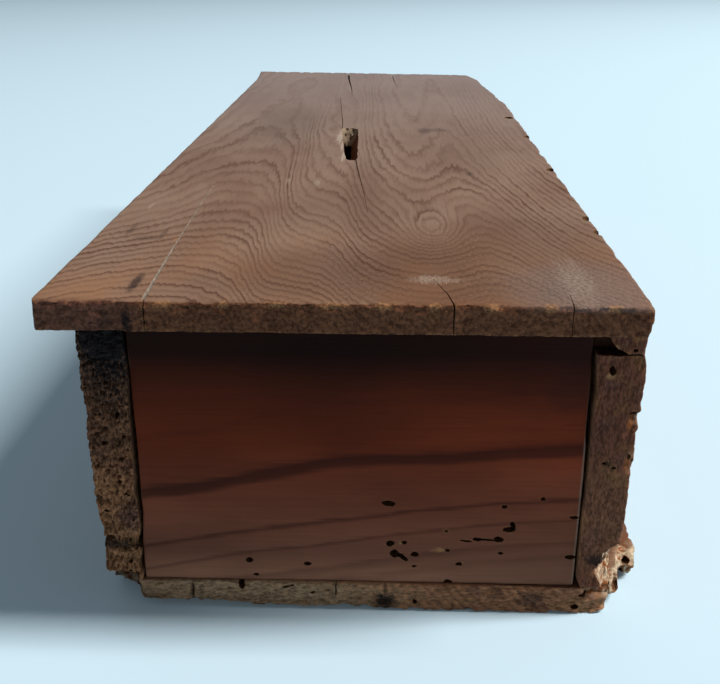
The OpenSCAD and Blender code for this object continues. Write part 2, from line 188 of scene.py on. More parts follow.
# Marks on the bottom board's near end, across, back and up from its middle
BOTTOM_MARKS = (
    ("dry_arris", (-25, 0, 4), (44, 4, 8), 0.75), ("dry_arris", (-46, 0, 7), (11, 4, 1.6), 0.6),
    ("dry_arris", (-32.4, 0, 4.9), (1.2, 3, 1.9), 0.9), ("dry_arris", (-5.6, 0, 4.4), (0.8, 3, 1.8), 0.7),
    ("dry_arris", (-10, 0, 2), (9, 3, 1.2), 0.5), ("dry_arris", (56, 0, 3), (4, 3, 2.5), 0.5),
    ("mauve", (40, 0, 4), (34, 4, 9), 0.2), ("broken", (-32, 0, 4), (46, 4, 9), 0.28),
    ("iron_stain", (6.3, 0, 2.6), (3.5, 4, 3), 0.9), ("iron_stain", (6.3, 0, 6), (0.7, 4, 2), 0.7),
    ("iron_stain", (43.8, 0, 4.0), (4, 4, 3), 0.5), ("iron_stain", (-43.8, 0, 5), (0.9, 4, 3), 0.6),
    # The last iron_stain mark, in the cavity under the left board's foot, is painted shade in that recess
    ("iron_stain", (-62.75, 6, 4), (6, 9, 6), 0.6))

# Millimetres of a crumb of the open end grain along X, Y and Z: even in the lid, tall in the sides,
# flat in the bottom
EVEN_CRUMBS = (1 / 1.1, 1 / 1.1, 1 / 1.1)
TALL_CRUMBS = (1 / 1.87, 1 / 1.1, 1 / 0.715)
FLAT_CRUMBS = (1 / 0.66, 1 / 1.1, 1 / 1.87)
# Length over which the wear of the side boards' ends dies away
END_WEAR_RUN = 25
# Length of the near ends of the side boards that is swollen or shrunk
SWELL_RUN = 45
# How far the outer arris of each near end stands out past the board's face, by height; below zero it is lost
LEFT_OUTLINE = ((8, -1), (11.9, -0.65), (20, -1), (23, -1.05), (26, -0.25), (31, 0.25), (40, 0.55),
                (51, 0.75), (55, 0.15), (58, 0.4), (62, 1.05), (72, 1.05), (80, 0.8))
RIGHT_OUTLINE = (
    (8, 0), (20, 0.3), (25.6, 0.55), (34, 0.65), (43.2, 0.75), (44.9, 1.45), (48.3, 1.05), (52.4, 0.75),
    (53.5, 1.35), (57.3, 0.95), (58, 1.55), (60, 1.35), (66, 1.75), (70, 1.55), (74.2, 0.85), (76.1, 1.25),
    (80, 1))
# Length of the near ends that is eaten back from the panel, and how far, by height
GAP_RUN = 10
LEFT_GAP = (
    (8, 0), (9.6, -0.2), (12.4, 0.75), (16.5, -0.2), (18.6, 0.95), (22, -0.1), (25.5, -0.3), (31, 0.15),
    (33.8, 0.45), (37, 0), (50, 0.05), (57, -0.1), (64, -0.5), (69.5, -0.4), (76, 0.15), (80, 0.3))
RIGHT_GAP = (
    (8, 1.5), (10.4, 0.45), (23, 0.35), (30.4, 0.35), (33.9, 0.7), (48.7, 0.8), (58, 0.7), (62.4, 1.05),
    (64.8, 0.95), (72, 0.2), (80, 0.25))
# Cavity under the near end of the left board: its width, how far it goes back, and the height of its roof
FOOT_CAVITY = (9.2, 9, 10.2)
# Lower outer corner of the right board's near end: where the chip starts, by height, its step and its slope
CHIP_EDGE = (
    (8, 61.6), (10.2, 60.9), (12.7, 59.4), (16, 61), (18.5, 61.3), (20.4, 63.6), (21.9, 65.5), (25.6, 66))
CHIP_STEP = 1.5
CHIP_SLOPE = 1.7
# Crumbled outer arris of the right board's near end: how far it is gone, by height, and its width
CRUMBLED = ((41, 0), (43.5, 0.8), (46, 0.5), (48, 0), (52, 0), (55, 0.7), (57, 1), (58.5, 0))
CRUMBLED_WIDTH = 2.2
# The split under the right board's rim: its depth below the rim and its run from the near end
RIM_SPLIT_DEPTH = 7.2
RIM_SPLIT_RUN = 46
# Outline of the sliver lost above the split, across and up, and how far back it is gone
SLIVER = (
    (52, 72.9), (57, 72.8), (60, 72.7), (62.4, 72.8), (61.1, 73.6), (59.9, 74.1), (58.7, 75.3), (57.7, 77),
    (57.4, 81), (52, 81))
SLIVER_RUN = 5

# Depth of the worm holes in the side boards' ends and in the near panel
END_HOLE_DEPTH = 3.5
PANEL_HOLE_DEPTH = 4
# Worm holes in the near ends: place across and up, width, height and turn in degrees
LEFT_END_HOLES = (
    (-59.6, 55.0, 1.2, 2.0, 10), (-64.4, 28.3, 1.4, 1.0, 0), (-59.0, 33.0, 2.2, 1.0, 15),
    (-65.0, 20.3, 4.5, 2.0, -10), (-59.5, 43.0, 1.3, 1.2, 0), (-60.5, 36.5, 1.2, 0.9, 0),
    (-58.5, 49.0, 1.0, 1.0, 0), (-63.5, 47.5, 1.0, 1.2, 0), (-62.5, 15.0, 1.1, 0.8, 0),
    (-59.5, 13.5, 1.2, 1.0, 0))
RIGHT_END_HOLES = (
    (59.0, 68.7, 1.7, 2.4, -12), (64.8, 57.6, 1.8, 0.8, 0), (63.9, 73.9, 1.4, 0.9, 0),
    (59.2, 44.2, 1.3, 0.8, 0), (61.6, 43.0, 1.2, 0.7, 10), (60.0, 13.2, 1.8, 1.6, -15))
NEAR_PANEL_HOLES = (
    (6.8, 31.4, 3.6, 1.6, 4), (35.8, 31.0, 1.5, 1.1, 0), (45.3, 33.4, 1.3, 1.0, 0),
    (53.4, 28.2, 2.2, 1.0, 0), (37.4, 24.4, 3.4, 1.6, 0), (38.2, 25.6, 1.4, 2.4, -12),
    (34.9, 21.4, 2.6, 1.7, 8), (29.4, 21.3, 2.4, 1.2, 4), (32.0, 21.2, 4.0, 0.7, 4),
    (26.6, 20.8, 3.4, 0.6, 6), (7.4, 19.6, 2.2, 1.8, -25), (11.0, 20.0, 1.7, 1.1, 0),
    (8.6, 16.6, 2.6, 2.4, 20), (10.6, 15.6, 3.4, 1.4, 38), (13.7, 16.5, 2.2, 1.6, 0),
    (13.6, 13.0, 1.2, 0.8, 0), (22.0, 17.9, 1.3, 1.0, 0), (21.6, 23.6, 0.8, 0.7, 0),
    (35.5, 17.3, 1.5, 0.9, 0), (25.1, 13.9, 1.8, 1.1, 0), (22.5, 8.5, 2.2, 1.4, 0),
    (-28.8, 14.0, 2.1, 1.6, 0), (-13.8, 13.1, 2.1, 1.3, 0), (-27.2, 9.6, 1.6, 0.8, 0),
    (53.3, 16.5, 3.0, 1.4, 0))
# Holes and galleries in the bottom board's near end: place and half sizes
BOTTOM_END_HOLES = (
    ((-31.0, -206, 7.2), (0.9, 3, 1.8)), ((-43.8, -206, 5.4), (0.22, 4, 2.2)),
    ((-6.5, -206, 6.0), (0.2, 4, 2.2)), ((-18.8, -207, 6.5), (1.7, 3, 0.35)),
    ((-12.6, -207, 5.1), (0.8, 3, 0.3)), ((14.0, -207, 2.6), (0.7, 4, 0.6)),
    ((-60.5, -201, 7.6), (2.2, 5, 2.0)), ((55.3, -206, 2.2), (1.1, 5, 0.8)),
    ((57.4, -206, 5.4), (1.3, 5, 0.6)), ((67.0, -198, 4.5), (1.1, 8, 1.2)),
    ((70.0, -193, 3.0), (1.0, 8, 0.9)), ((71.5, -190, 6.0), (1.2, 8, 0.9)),
    ((64.0, -200, 6.2), (0.9, 6, 0.8)))
# How far the bottom board's near end is broken back, by the place across it
BOTTOM_BREAK = (
    (-66.75, 9), (-64, 8), (-58.6, 5), (-57.8, 1), (-56.8, 0), (56, 0), (62.5, 0.4), (63.9, 1.2), (64.6, 5),
    (66.5, 6), (67.8, 7.5), (68.6, 12.5), (70, 16.5), (72.5, 15.5), (74, 17), (74.75, 19.5))
# Length over which the pale colour of a break fades
BROKEN_RUN = 5
# How far the lower edge of that end is worn up, by the place across it
BOTTOM_FOOT = (
    (-60, 2.9), (-52, 2.1), (-40, 2), (-33, 1.5), (-25, 0.8), (0, 0.5), (28, 0), (61, 0), (64.5, 1.3),
    (70, 1))
# Half the bottom board's thickness
BOTTOM_HALF = 4
# Half sizes of the pits around the nail heads under the bottom board
NAIL_PIT = (3.2, 3.2, 2.0)
# How far the side edges of the near panel stand out past the CAD panel, by height
PANEL_LEFT_EDGE = ((10, 0.55), (19, 0.45), (28, -0.25), (32, -0.05), (47, -0.25), (57, -0.05), (73, 0.15))
PANEL_RIGHT_EDGE = ((12, 0.7), (37, 0.8), (48.5, 0.7), (49.5, 0.35), (63, 0.35), (71, 0.15))

# The end panel's grain: its run, and the rise of its bands along it
PANEL_RUN = 109.6
PANEL_RISE = 20
# Height of the panel's broad band and of its thin bands along the panel, as shares of its run and of the rise
PANEL_BROAD_BAND = ((0, -0.01), (1, 0.7), (0.14, 0.075), (0.25, 0.245), (0.385, 0.415), (0.455, 0.49),
                    (0.58, 0.53), (0.72, 0.57), (0.87, 0.65))
PANEL_THIN_BAND = ((0, 0.0), (1, 0.87), (0.14, 0.16), (0.24, 0.26), (0.375, 0.37), (0.515, 0.5),
                   (0.67, 0.65), (0.82, 0.77))
# Darkness of the panel's grain by height at its left end, as shares of the span that follows
PANEL_BANDS = (
    (0, 0), (1, 0), (0.02, 0.15), (0.045, 0), (0.075, 0.3), (0.088, 0), (0.152, 0.05), (0.163, 0.45),
    (0.174, 0), (0.234, 0.1), (0.246, 0.6), (0.259, 0.05), (0.412, 0), (0.43, 0.65), (0.453, 0.75),
    (0.472, 0.2), (0.5, 0.02), (0.62, 0), (0.64, 0.15), (0.66, 0))
PANEL_BAND_SPAN = 80
# Purple stains on the panel: middle, radii and strength
PANEL_STAINS = (((50, -206, 62), (6, 30, 5), 0.35), ((52, -206, 72), (9, 30, 6), 0.35))
# Where a stain starts and where it is full, in its radii, and how broken a soft and a torn edge are
STAIN_RIM = 1.15
STAIN_CORE = 0.5
SOFT_EDGE = 1.2
TORN_EDGE = 3.0


def linear(hex_colour):
    """Linear RGBA of an sRGB hex value."""
    parts = [int(hex_colour[i:i + 2], 16) / 255 for i in (1, 3, 5)]
    return [c / 12.92 if c <= 0.04045 else ((c + 0.055) / 1.055) ** 2.4 for c in parts] + [1.0]


def colour(name, description, hex_colour):
    """A colour property with an sRGB default."""
    return bpy.props.FloatVectorProperty(
        name=name, description=description, subtype="COLOR", size=4, min=0, max=1, default=linear(hex_colour))


def length(name, description, millimetres):
    """A length property with its default in millimetres."""
    return bpy.props.FloatProperty(
        name=name, description=description, unit="LENGTH", min=0, default=millimetres * MM)


class AlmsBoxWear(bpy.types.PropertyGroup):
    """How far use, rot and beetles have gone."""
    arris: length("Arris", "Radius worn onto the edges of the boards", 0.8)
    end_pits: length("End pits", "Depth of the pits in the lid's open end grain", 0.7)
    eaten_pits: length("Eaten pits", "Depth of the pits in the worm-eaten ends of the side boards", 2.0)
    face_pits: length("Face pits", "Depth of the pits in the outer faces of the side boards", 0.9)
    back_wear: length("Back wear", "Width lost from the lid's back edge at its far end", 6.2)
    back_wear_run: length("Back wear run", "Length of the back edge that is worn away", 128)
    bore: length("Bore", "Usual width of a beetle's flight hole", 1.5)
    bore_depth: length("Bore depth", "How far a flight hole goes in", 5)
    bores: bpy.props.FloatProperty(
        name="Bores", description="Flight holes in each square metre of the outer faces", min=0, default=900)
    seed: bpy.props.IntProperty(name="Seed", description="Pattern of the scattered holes and wear", default=7)


class AlmsBoxSlot(bpy.types.PropertyGroup):
    """The hand-cut coin slot, measured on the lid from its lip and its near end."""
    run: length("Length", "Length of the slot", 72)
    near_width: length("Near width", "Width at the near end", 5)
    far_width: length("Far width", "Width at the far end", 7.6)
    from_near_end: length("From near end", "Distance from the lid's near end to the slot", 163)
    near_from_lip: length("Near from lip", "Distance from the lip to the middle of the near end", 66.9)
    far_from_lip: length("Far from lip", "Distance from the lip to the middle of the far end", 63.5)


class AlmsBoxFinish(bpy.types.PropertyGroup):
    """Colours of the woods and the iron."""
    lid_early: colour("Lid earlywood", "Soft wood between the lid's grain lines", "#8b7262")
    lid_late: colour("Lid latewood", "Grain lines of the lid", "#4f2f20")
    lid_aged: colour("Lid aged", "Darker handled patches of the lid", "#765848")
    lid_warm: colour("Lid warm", "Orange wood by the lid's near end", "#946a4a")
    # This colour is also the painted reflection that greys the lid towards its far end, besides a grey smear
    lid_grey: colour("Lid grey", "Greyer wood towards the lid's far end", "#8b8180")
    scuff: colour("Scuff", "Pale scuffs on the lid", "#b3a394")
    crack_dust: colour("Crack dust", "Pale dust in the lid's long crack", "#93887d")
    lid_arris: colour("Lid arris", "Worn edges of the lid", "#a57a50")
    lid_end: colour("Lid end", "Open end grain of the lid", "#6e4732")
    panel_early: colour("Panel earlywood", "Upper, redder wood of the end panels", "#753018")
    panel_low: colour("Panel foot", "Lower, drier wood of the end panels", "#6e4a3a")
    panel_late: colour("Panel latewood", "Grain bands of the end panels", "#280c08")
    panel_stain: colour("Panel stain", "Purple stain in the panel's upper corner", "#2c1213")
    dry_early: colour("Dry earlywood", "Earlywood of the sides and bottom", "#8a6148")
    dry_late: colour("Dry latewood", "Latewood of the sides and bottom", "#5a3a28")
    dry_aged: colour("Dry aged", "Grimy patches of the sides and bottom", "#4a3025")
    dry_grimy: colour("Dry grimy", "Grimy end grain of the right board", "#704434")
    dry_end: colour("Dry end", "Open end grain of the left and bottom boards", "#a87453")
    dry_arris: colour("Dry arris", "Worn edges of the sides and bottom", "#a57a54")
    broken: colour("Broken wood", "Pale wood laid open by the breaks", "#cab99f")
    broken_deep: colour("Broken hollows", "Orange wood in the hollows of the breaks", "#8a4f22")
    ochre: colour("Ochre", "Yellow crumbs of the dry boards", "#8e663c")
    mauve: colour("Mauve", "Mauve patches of the dry boards", "#573b38")
    bore_dust: colour("Bore dust", "Inside of the worm holes and cracks", "#6b4c33")
    slot_torn: colour("Slot torn", "Torn far wall of the coin slot", "#9c8a76")
    slot_wall: colour("Slot wall", "Cut walls of the coin slot", "#74482e")
    iron: colour("Iron", "Forged iron under its rust", "#2b2624")
    rust: colour("Rust", "Rust on the iron", "#6b3d22")
    iron_stain: colour("Iron stain", "Blue-black stain of iron in the wood", "#1d181a")


class AlmsBoxStage(bpy.types.PropertyGroup):
    """Floor, lamps and camera."""
    floor: colour("Floor", "Pale studio floor", "#c6e2f3")
    floor_glow: bpy.props.FloatProperty(
        name="Floor glow", description="How far the floor's own colour shows through its shade",
        min=0, default=0.06)
    key_power: bpy.props.FloatProperty(
        name="Key power", description="Power of the soft lamp on the right", unit="POWER", min=0, default=470)
    key_place: bpy.props.FloatVectorProperty(
        name="Key place", description="Place of the soft lamp", subtype="TRANSLATION", unit="LENGTH", size=3,
        default=(3.9, -0.03, 4.4))
    key_width: length("Key width", "Width of the soft lamp", 900)
    key_height: length("Key height", "Height of the soft lamp", 2900)
    sky_back: bpy.props.FloatProperty(
        name="Sky behind", description="Strength of the even light from behind the box", min=0, default=0.25)
    sky_front: bpy.props.FloatProperty(
        name="Sky in front", description="Strength of the even light from the camera's side",
        min=0, default=0.13)
    lens: bpy.props.FloatProperty(
        name="Lens", description="Focal length for a 36 mm wide picture", unit="CAMERA", min=1, default=50)
    eye: bpy.props.FloatVectorProperty(
        name="Eye", description="Place of the camera", subtype="TRANSLATION", unit="LENGTH", size=3,
        default=(5.75 * MM, -424.4 * MM, 160.7 * MM))
    turn: bpy.props.FloatVectorProperty(
        name="Turn", description="Tilt up from straight down, roll and turn of the camera", subtype="EULER",
        unit="ROTATION", size=3, default=(math.radians(68.55), math.radians(0.14), math.radians(1.62)))


class AlmsBoxSettings(bpy.types.PropertyGroup):
    """All the settings of the alms box."""
    wear: bpy.props.PointerProperty(type=AlmsBoxWear)
    slot: bpy.props.PointerProperty(type=AlmsBoxSlot)
    finish: bpy.props.PointerProperty(type=AlmsBoxFinish)
    stage: bpy.props.PointerProperty(type=AlmsBoxStage)


# Meshes

def board(node):
    """Lowest and highest corner of a CAD board, in millimetres."""
    low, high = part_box(node)
    return np.array(low) / MM, np.array(high) / MM


def lines(low, high, fine, coarse, growth=1.09):
    """Grid lines from low to high: fine at both ends, growing coarser towards the middle."""
    half = (high - low) / 2
    steps = [0.0]
    step = fine
    while steps[-1] < half:
        steps.append(steps[-1] + step)
        step = min(step * growth, coarse)
    steps = np.array(steps) * half / steps[-1]
    return np.concatenate([low + steps, (high - steps)[::-1][1:]])


def lattice(xs, ys, zs):
    """Points and quads of a closed box with those grid lines on its faces."""
    index = np.full((len(xs), len(ys), len(zs)), -1)
    shell = np.ones(index.shape, bool)
    shell[1:-1, 1:-1, 1:-1] = False
    index[shell] = np.arange(shell.sum())
    i, j, k = np.nonzero(shell)
    quads = []
    sheets = ((index[:, :, 0], True), (index[:, :, -1], False), (index[:, 0], False),
              (index[:, -1], True), (index[0], True), (index[-1], False))
    for sheet, turned in sheets:
        quad = np.stack([sheet[:-1, :-1], sheet[1:, :-1], sheet[1:, 1:], sheet[:-1, 1:]], -1).reshape(-1, 4)
        quads.append(quad[:, ::-1] if turned else quad)
    return np.stack([xs[i], ys[j], zs[k]], 1), np.concatenate(quads)


def gridded(low, high, grid):
    """Points and quads of a box with a grid on its faces."""
    return lattice(*(lines(low[axis], high[axis], *grid[axis]) for axis in (X, Y, Z)))


def clamp(values):
    """Values held between 0 and 1."""
    return np.clip(values, 0, 1)


def read_off(table, places):
    """What a table of (place, value) says at those places."""
    return np.interp(places, *zip(*table))


def wander(points, size, seed):
    """Smooth noise from -1 to 1 at each point, with features of that size."""
    shift = np.array([17.3, 5.9, 11.7]) * seed
    return np.array([noise.noise(Vector(p)) for p in points / np.asarray(size, float) + shift])


def eaten(points, size, start, seed):
    """0 on sound wood, rising to 1 in the middle of an eaten patch; a lower start eats more."""
    return clamp((wander(points, size, seed) - start) / (0.6 - start))


def pitted(points, layers, seed):
    """How deep pits go at each point, as a share of their full depth."""
    return sum(share * eaten(points, size, start, seed + step) for share, size, start, step in layers)


def crevices(points, size, width, seed):
    """1 along thin winding clefts, 0 elsewhere."""
    return 1 - clamp(np.abs(wander(points, size, seed)) / width)


def round_edges(points, low, high, radius):
    """Points of a box moved in onto edges rounded with that radius, which may differ from point to point."""
    radius = np.broadcast_to(radius, len(points))[:, None]
    core = np.clip(points, low + radius, high - radius)
    out = points - core
    far = np.linalg.norm(out, axis=1, keepdims=True)
    return core + out * np.where(far > radius, radius / np.maximum(far, 1e-9), 1)


def press(points, axis, face, depth, reach):
    """Moves points in from the face at that place on an axis, by a depth that fades out over the reach."""
    sense = np.sign(points[:, axis].mean() - face)
    fade = clamp(1 - np.abs(points[:, axis] - face) / reach) ** 2
    points[:, axis] += sense * depth * fade


def link(name, mesh):
    """A new object for a mesh, in the scene."""
    piece = bpy.data.objects.new(name, mesh)
    bpy.context.scene.collection.objects.link(piece)
    return piece


def solid(name, points, faces, *materials):
    """An object from points in millimetres, with its materials."""
    mesh = bpy.data.meshes.new(name)
    mesh.from_pydata((points * MM).tolist(), [], [list(map(int, face)) for face in faces])
    for material in materials:
        mesh.materials.append(material)
    mesh.validate()
    return link(name, mesh)


def settle(piece):
    """Turns what a piece's modifiers make into its own plain mesh."""
    graph = bpy.context.evaluated_depsgraph_get()
    shape = piece.evaluated_get(graph)
    mesh = bpy.data.meshes.new_from_object(shape, preserve_all_data_layers=True, depsgraph=graph)
    old = piece.data
    piece.modifiers.clear()
    piece.data = mesh
    mesh.name = piece.name
    bpy.data.meshes.remove(old)


def carve(piece, *cutters):
    """Cuts the cutters out of a piece; the cut faces keep the cutters' materials."""
    for cutter in cutters:
        cut = piece.modifiers.new(cutter.name, "BOOLEAN")
        cut.operation = "DIFFERENCE"
        cut.solver = "MANIFOLD"
        cut.material_mode = "TRANSFER"
        cut.object = cutter
    settle(piece)
    for cutter in cutters:
        bpy.data.objects.remove(cutter)


def show(piece, body, node):
    """Smooths a finished piece and sets it on the frame in place of its CAD node."""
    piece.data.shade_smooth()
    piece.data.set_sharp_from_angle(angle=math.radians(SHARP_EDGE))
    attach(piece, body)
    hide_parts(node)


def crack(name, path, widths, depths, top, material):
    """A narrow trench along a path of (x, y) places on a face that looks up at height top."""
    path = np.array(path, float)
    count = len(path)
    run = np.gradient(path, axis=0)
    right = np.stack([run[:, 1], -run[:, 0]], 1) / np.linalg.norm(run, axis=1, keepdims=True)
    points = []
    halves = np.linspace(*widths, count)
    for place, side, width, depth in zip(path, right, halves, np.linspace(*depths, count)):
        for out, level in ((-1, top + 1), (1, top + 1), (0.4, top - depth), (-0.4, top - depth)):
            points.append([*(place + side * width * out), level])
    last = len(points) - 4
    faces = [(3, 2, 1, 0), (last, last + 1, last + 2, last + 3)]
    for start in range(0, last, 4):
        for a, b in ((0, 1), (1, 2), (2, 3), (3, 0)):
            faces.append((start + a, start + b, start + 4 + b, start + 4 + a))
    return solid(name, np.array(points), faces, material)


def prism(name, outline, start, stop, material):
    """A solid along Y with a section of (x, z) places, counter-clockwise as the camera sees it."""
    count = len(outline)
    points = [(x, y, z) for y in (start, stop) for x, z in outline]
    faces = [list(range(count)), list(range(2 * count - 1, count - 1, -1))]
    for here in range(count):
        after = (here + 1) % count
        faces.append((after, here, count + here, count + after))
    return solid(name, np.array(points, float), faces, material)


# Geometry node trees

def feed(tree, node, inputs):
    """Links a node's inputs, or sets their values."""
    for key, value in inputs.items():
        if isinstance(value, bpy.types.NodeSocket):
            tree.links.new(value, node.inputs[key])
        else:
            node.inputs[key].default_value = value


def add(tree, kind, inputs=None, stops=(), curve=(), **settings):
    """Adds one node with its settings, its input values or links, and its ramp or curve; gives its output."""
    node = tree.nodes.new(kind)
    for name, value in settings.items():
        setattr(node, name, value)
    feed(tree, node, inputs or {})
    for spot, (place, level) in enumerate(stops):
        ramp = node.color_ramp.elements
        stop = ramp[spot] if spot < len(ramp) else ramp.new(place)
        stop.position = place
        stop.color = (level, level, level, 1)
    for spot, (place, level) in enumerate(curve):
        bend = node.mapping.curves[0].points
        if spot < len(bend):
            bend[spot].location = (place, level)
        else:
            bend.new(place, level)
    if curve:
        node.mapping.update()
    return next((socket for socket in node.outputs if socket.enabled), node)


def tree_with(name, **inputs):
    """An empty geometry node tree with named inputs; gives the tree and the sockets of its input node."""
    tree = bpy.data.node_groups.new(name, "GeometryNodeTree")
    tree.interface.new_socket("Geometry", in_out="INPUT", socket_type="NodeSocketGeometry")
    for label, kind in inputs.items():
        tree.interface.new_socket(label, in_out="INPUT", socket_type="NodeSocket" + kind)
    tree.interface.new_socket("Geometry", in_out="OUTPUT", socket_type="NodeSocketGeometry")
    source = tree.nodes.new("NodeGroupInput")
    return tree, source.outputs


def roughened(tree, given, instances, fineness, depth):
    """Ends a tree: instances made real, pushed in and out by noise, and given their material."""
    real = add(tree, "GeometryNodeRealizeInstances", {"Geometry": instances})
    wave = add(tree, "ShaderNodeTexNoise", {"Scale": fineness, "Detail": 1.0}).node.outputs["Color"]
    swing = add(tree, "ShaderNodeVectorMath", {0: wave, 1: (0.5, 0.5, 0.5)}, operation="SUBTRACT")
    shift = add(tree, "ShaderNodeVectorMath", {0: swing, "Scale": depth}, operation="SCALE")
    moved = add(tree, "GeometryNodeSetPosition", {"Geometry": real, "Offset": shift})
    done = add(tree, "GeometryNodeSetMaterial", {"Geometry": moved, "Material": given["Material"]})
    add(tree, "NodeGroupOutput", {0: done})
    return tree


def ragged_balls(tree, given, points, rotation, scale):
    """Ends a tree with a ragged ball on each point, to cut a hole with."""
    ball = add(tree, "GeometryNodeMeshIcoSphere", {"Radius": 1.0, "Subdivisions": 3})
    dots = add(tree, "GeometryNodeInstanceOnPoints",
               {"Points": points, "Instance": ball, "Rotation": rotation, "Scale": scale})
    return roughened(tree, given, dots, given["Raggedness"], given["Bore"])


def placed_bores_tree():
    """Worm holes at given points, with each point's own size and turn."""
    tree, given = tree_with("placed_bores", Bore="Float", Raggedness="Float", Material="Material")
    size = add(tree, "GeometryNodeInputNamedAttribute", {"Name": "bore_size"}, data_type="FLOAT_VECTOR")
    turn = add(tree, "GeometryNodeInputNamedAttribute", {"Name": "bore_turn"}, data_type="FLOAT_VECTOR")
    rotation = add(tree, "FunctionNodeEulerToRotation", {0: turn})
    return ragged_balls(tree, given, given["Geometry"], rotation, size)


def scattered_bores_tree():
    """Worm holes scattered over all the faces of a board."""
    tree, given = tree_with("scattered_bores", Bores="Float", Bore="Float", Depth="Float", Seed="Int",
                            Raggedness="Float", Material="Material")
    spread = add(tree, "GeometryNodeDistributePointsOnFaces",
                 {"Mesh": given["Geometry"], "Density": given["Bores"], "Seed": given["Seed"]},
                 distribute_method="RANDOM")
    least = add(tree, "ShaderNodeMath", {0: given["Bore"], 1: 0.25}, operation="MULTIPLY")
    most = add(tree, "ShaderNodeMath", {0: given["Bore"], 1: 0.6}, operation="MULTIPLY")
    width = add(tree, "FunctionNodeRandomValue", {2: least, 3: most, "Seed": given["Seed"]},
                data_type="FLOAT")
    scale = add(tree, "ShaderNodeCombineXYZ", {"X": width, "Y": width, "Z": given["Depth"]})
    return ragged_balls(tree, given, spread, spread.node.outputs["Rotation"], scale)


def forged_nails_tree():
    """Square drawn nails with a hammered head, one at each point, turned as the point says."""
    tree, given = tree_with("forged_nails", Length="Float", Shank="Float", Point="Float", Head="Float",
                            Rise="Float", Material="Material")
    half = add(tree, "ShaderNodeMath", {0: given["Shank"], 1: math.sqrt(0.5)}, operation="MULTIPLY")
    tip = add(tree, "ShaderNodeMath", {0: given["Point"], 1: math.sqrt(0.5)}, operation="MULTIPLY")
    shank = add(tree, "GeometryNodeMeshCone", {"Vertices": 4, "Side Segments": 6, "Radius Top": tip,
                                               "Radius Bottom": half, "Depth": given["Length"]})
    wide = add(tree, "ShaderNodeMath", {0: given["Head"], 1: 0.5}, operation="MULTIPLY")
    crown = add(tree, "ShaderNodeMath", {0: given["Head"], 1: 0.14}, operation="MULTIPLY")
    head = add(tree, "GeometryNodeMeshCone", {"Vertices": 7, "Side Segments": 2, "Fill Segments": 2,
                                              "Radius Top": crown, "Radius Bottom": wide,
                                              "Depth": given["Rise"]})
    over = add(tree, "GeometryNodeTransform", {"Geometry": head, "Rotation": (math.pi, 0, 0)})
    whole = add(tree, "GeometryNodeJoinGeometry", {0: shank})
    tree.links.new(over, whole.node.inputs[0])
    turn = add(tree, "GeometryNodeInputNamedAttribute", {"Name": "nail_turn"}, data_type="FLOAT_VECTOR")
    rotation = add(tree, "FunctionNodeEulerToRotation", {0: turn})
    row = add(tree, "GeometryNodeInstanceOnPoints",
              {"Points": given["Geometry"], "Instance": whole, "Rotation": rotation})
    return roughened(tree, given, row, DENTS_PER_METRE, DENT * MM)


def grow(tree, piece, **values):
    """Runs a geometry node tree on a piece with its named inputs set, and keeps the plain result."""
    nodes = piece.modifiers.new(tree.name, "NODES")
    nodes.node_group = tree
    for item in tree.interface.items_tree:
        if item.item_type == "SOCKET" and item.in_out == "INPUT" and item.name in values:
            nodes[item.identifier] = values[item.name]
    settle(piece)
    return piece


def points_with(name, places, **attributes):
    """An object of loose points in millimetres with vector attributes, for a tree to work on."""
    mesh = bpy.data.meshes.new(name)
    mesh.from_pydata((np.array(places) * MM).tolist(), [], [])
    for label, values in attributes.items():
        layer = mesh.attributes.new(label, "FLOAT_VECTOR", "POINT")
        layer.data.foreach_set("vector", np.array(values, float).ravel())
    return link(name, mesh)


def placed_bores(name, bores, wear, material):
    """Cutters for worm holes: each is a place, its half sizes and its turn in degrees about Y."""
    places = [place for place, half, turn in bores]
    halves = [np.array(half) * MM for place, half, turn in bores]
    turns = [(0, math.radians(turn), 0) for place, half, turn in bores]
    holder = points_with(name, places, bore_size=halves, bore_turn=turns)
    return grow(placed_bores_tree(), holder, Bore=0.45 * wear.bore, Raggedness=900.0, Material=material)


def end_bores(holes, near, depth):
    """Bores in a near end from a table of places across and up, widths, heights and turns."""
    return [((x, near, z), (width / 2, depth, height / 2), turn) for x, z, width, height, turn in holes]


def scattered_bores(piece, wear, material, seed, share):
    """Cutters for worm holes scattered over a board, with that share of the usual number."""
    holder = link(piece.name + "_bores", piece.data.copy())
    return grow(scattered_bores_tree(), holder, Bores=wear.bores * share, Bore=wear.bore,
                Depth=wear.bore_depth, Seed=wear.seed + seed, Raggedness=700.0, Material=material)


# Materials

def blank(name):
    """A new material; gives it, its tree, its shader and the place on the piece in millimetres."""
    material = bpy.data.materials.new(name)
    material.use_nodes = True
    tree = material.node_tree
    spot = add(tree, "ShaderNodeTexCoord").node.outputs["Object"]
    place = add(tree, "ShaderNodeVectorMath", {0: spot, "Scale": 1 / MM}, operation="SCALE")
    return material, tree, tree.nodes["Principled BSDF"], place


def mottle(tree, place, size, detail, roughness=0.5):
    """Noise from 0 to 1 with features of about that size in millimetres along each axis."""
    scaled = add(tree, "ShaderNodeVectorMath", {0: place, 1: size}, operation="DIVIDE")
    return add(tree, "ShaderNodeTexNoise",
               {"Vector": scaled, "Scale": 1.0, "Detail": detail, "Roughness": roughness})


def layered(tree, base, *coats):
    """A colour under coats: a (mask, tint) pair covers it where the mask says, a lone shade multiplies it."""
    for coat in coats:
        mask, tint, blend = (*coat, "MIX") if isinstance(coat, tuple) else (1.0, coat, "MULTIPLY")
        base = add(tree, "ShaderNodeMix", {0: mask, 6: base, 7: tint}, data_type="RGBA", blend_type=blend)
    return base


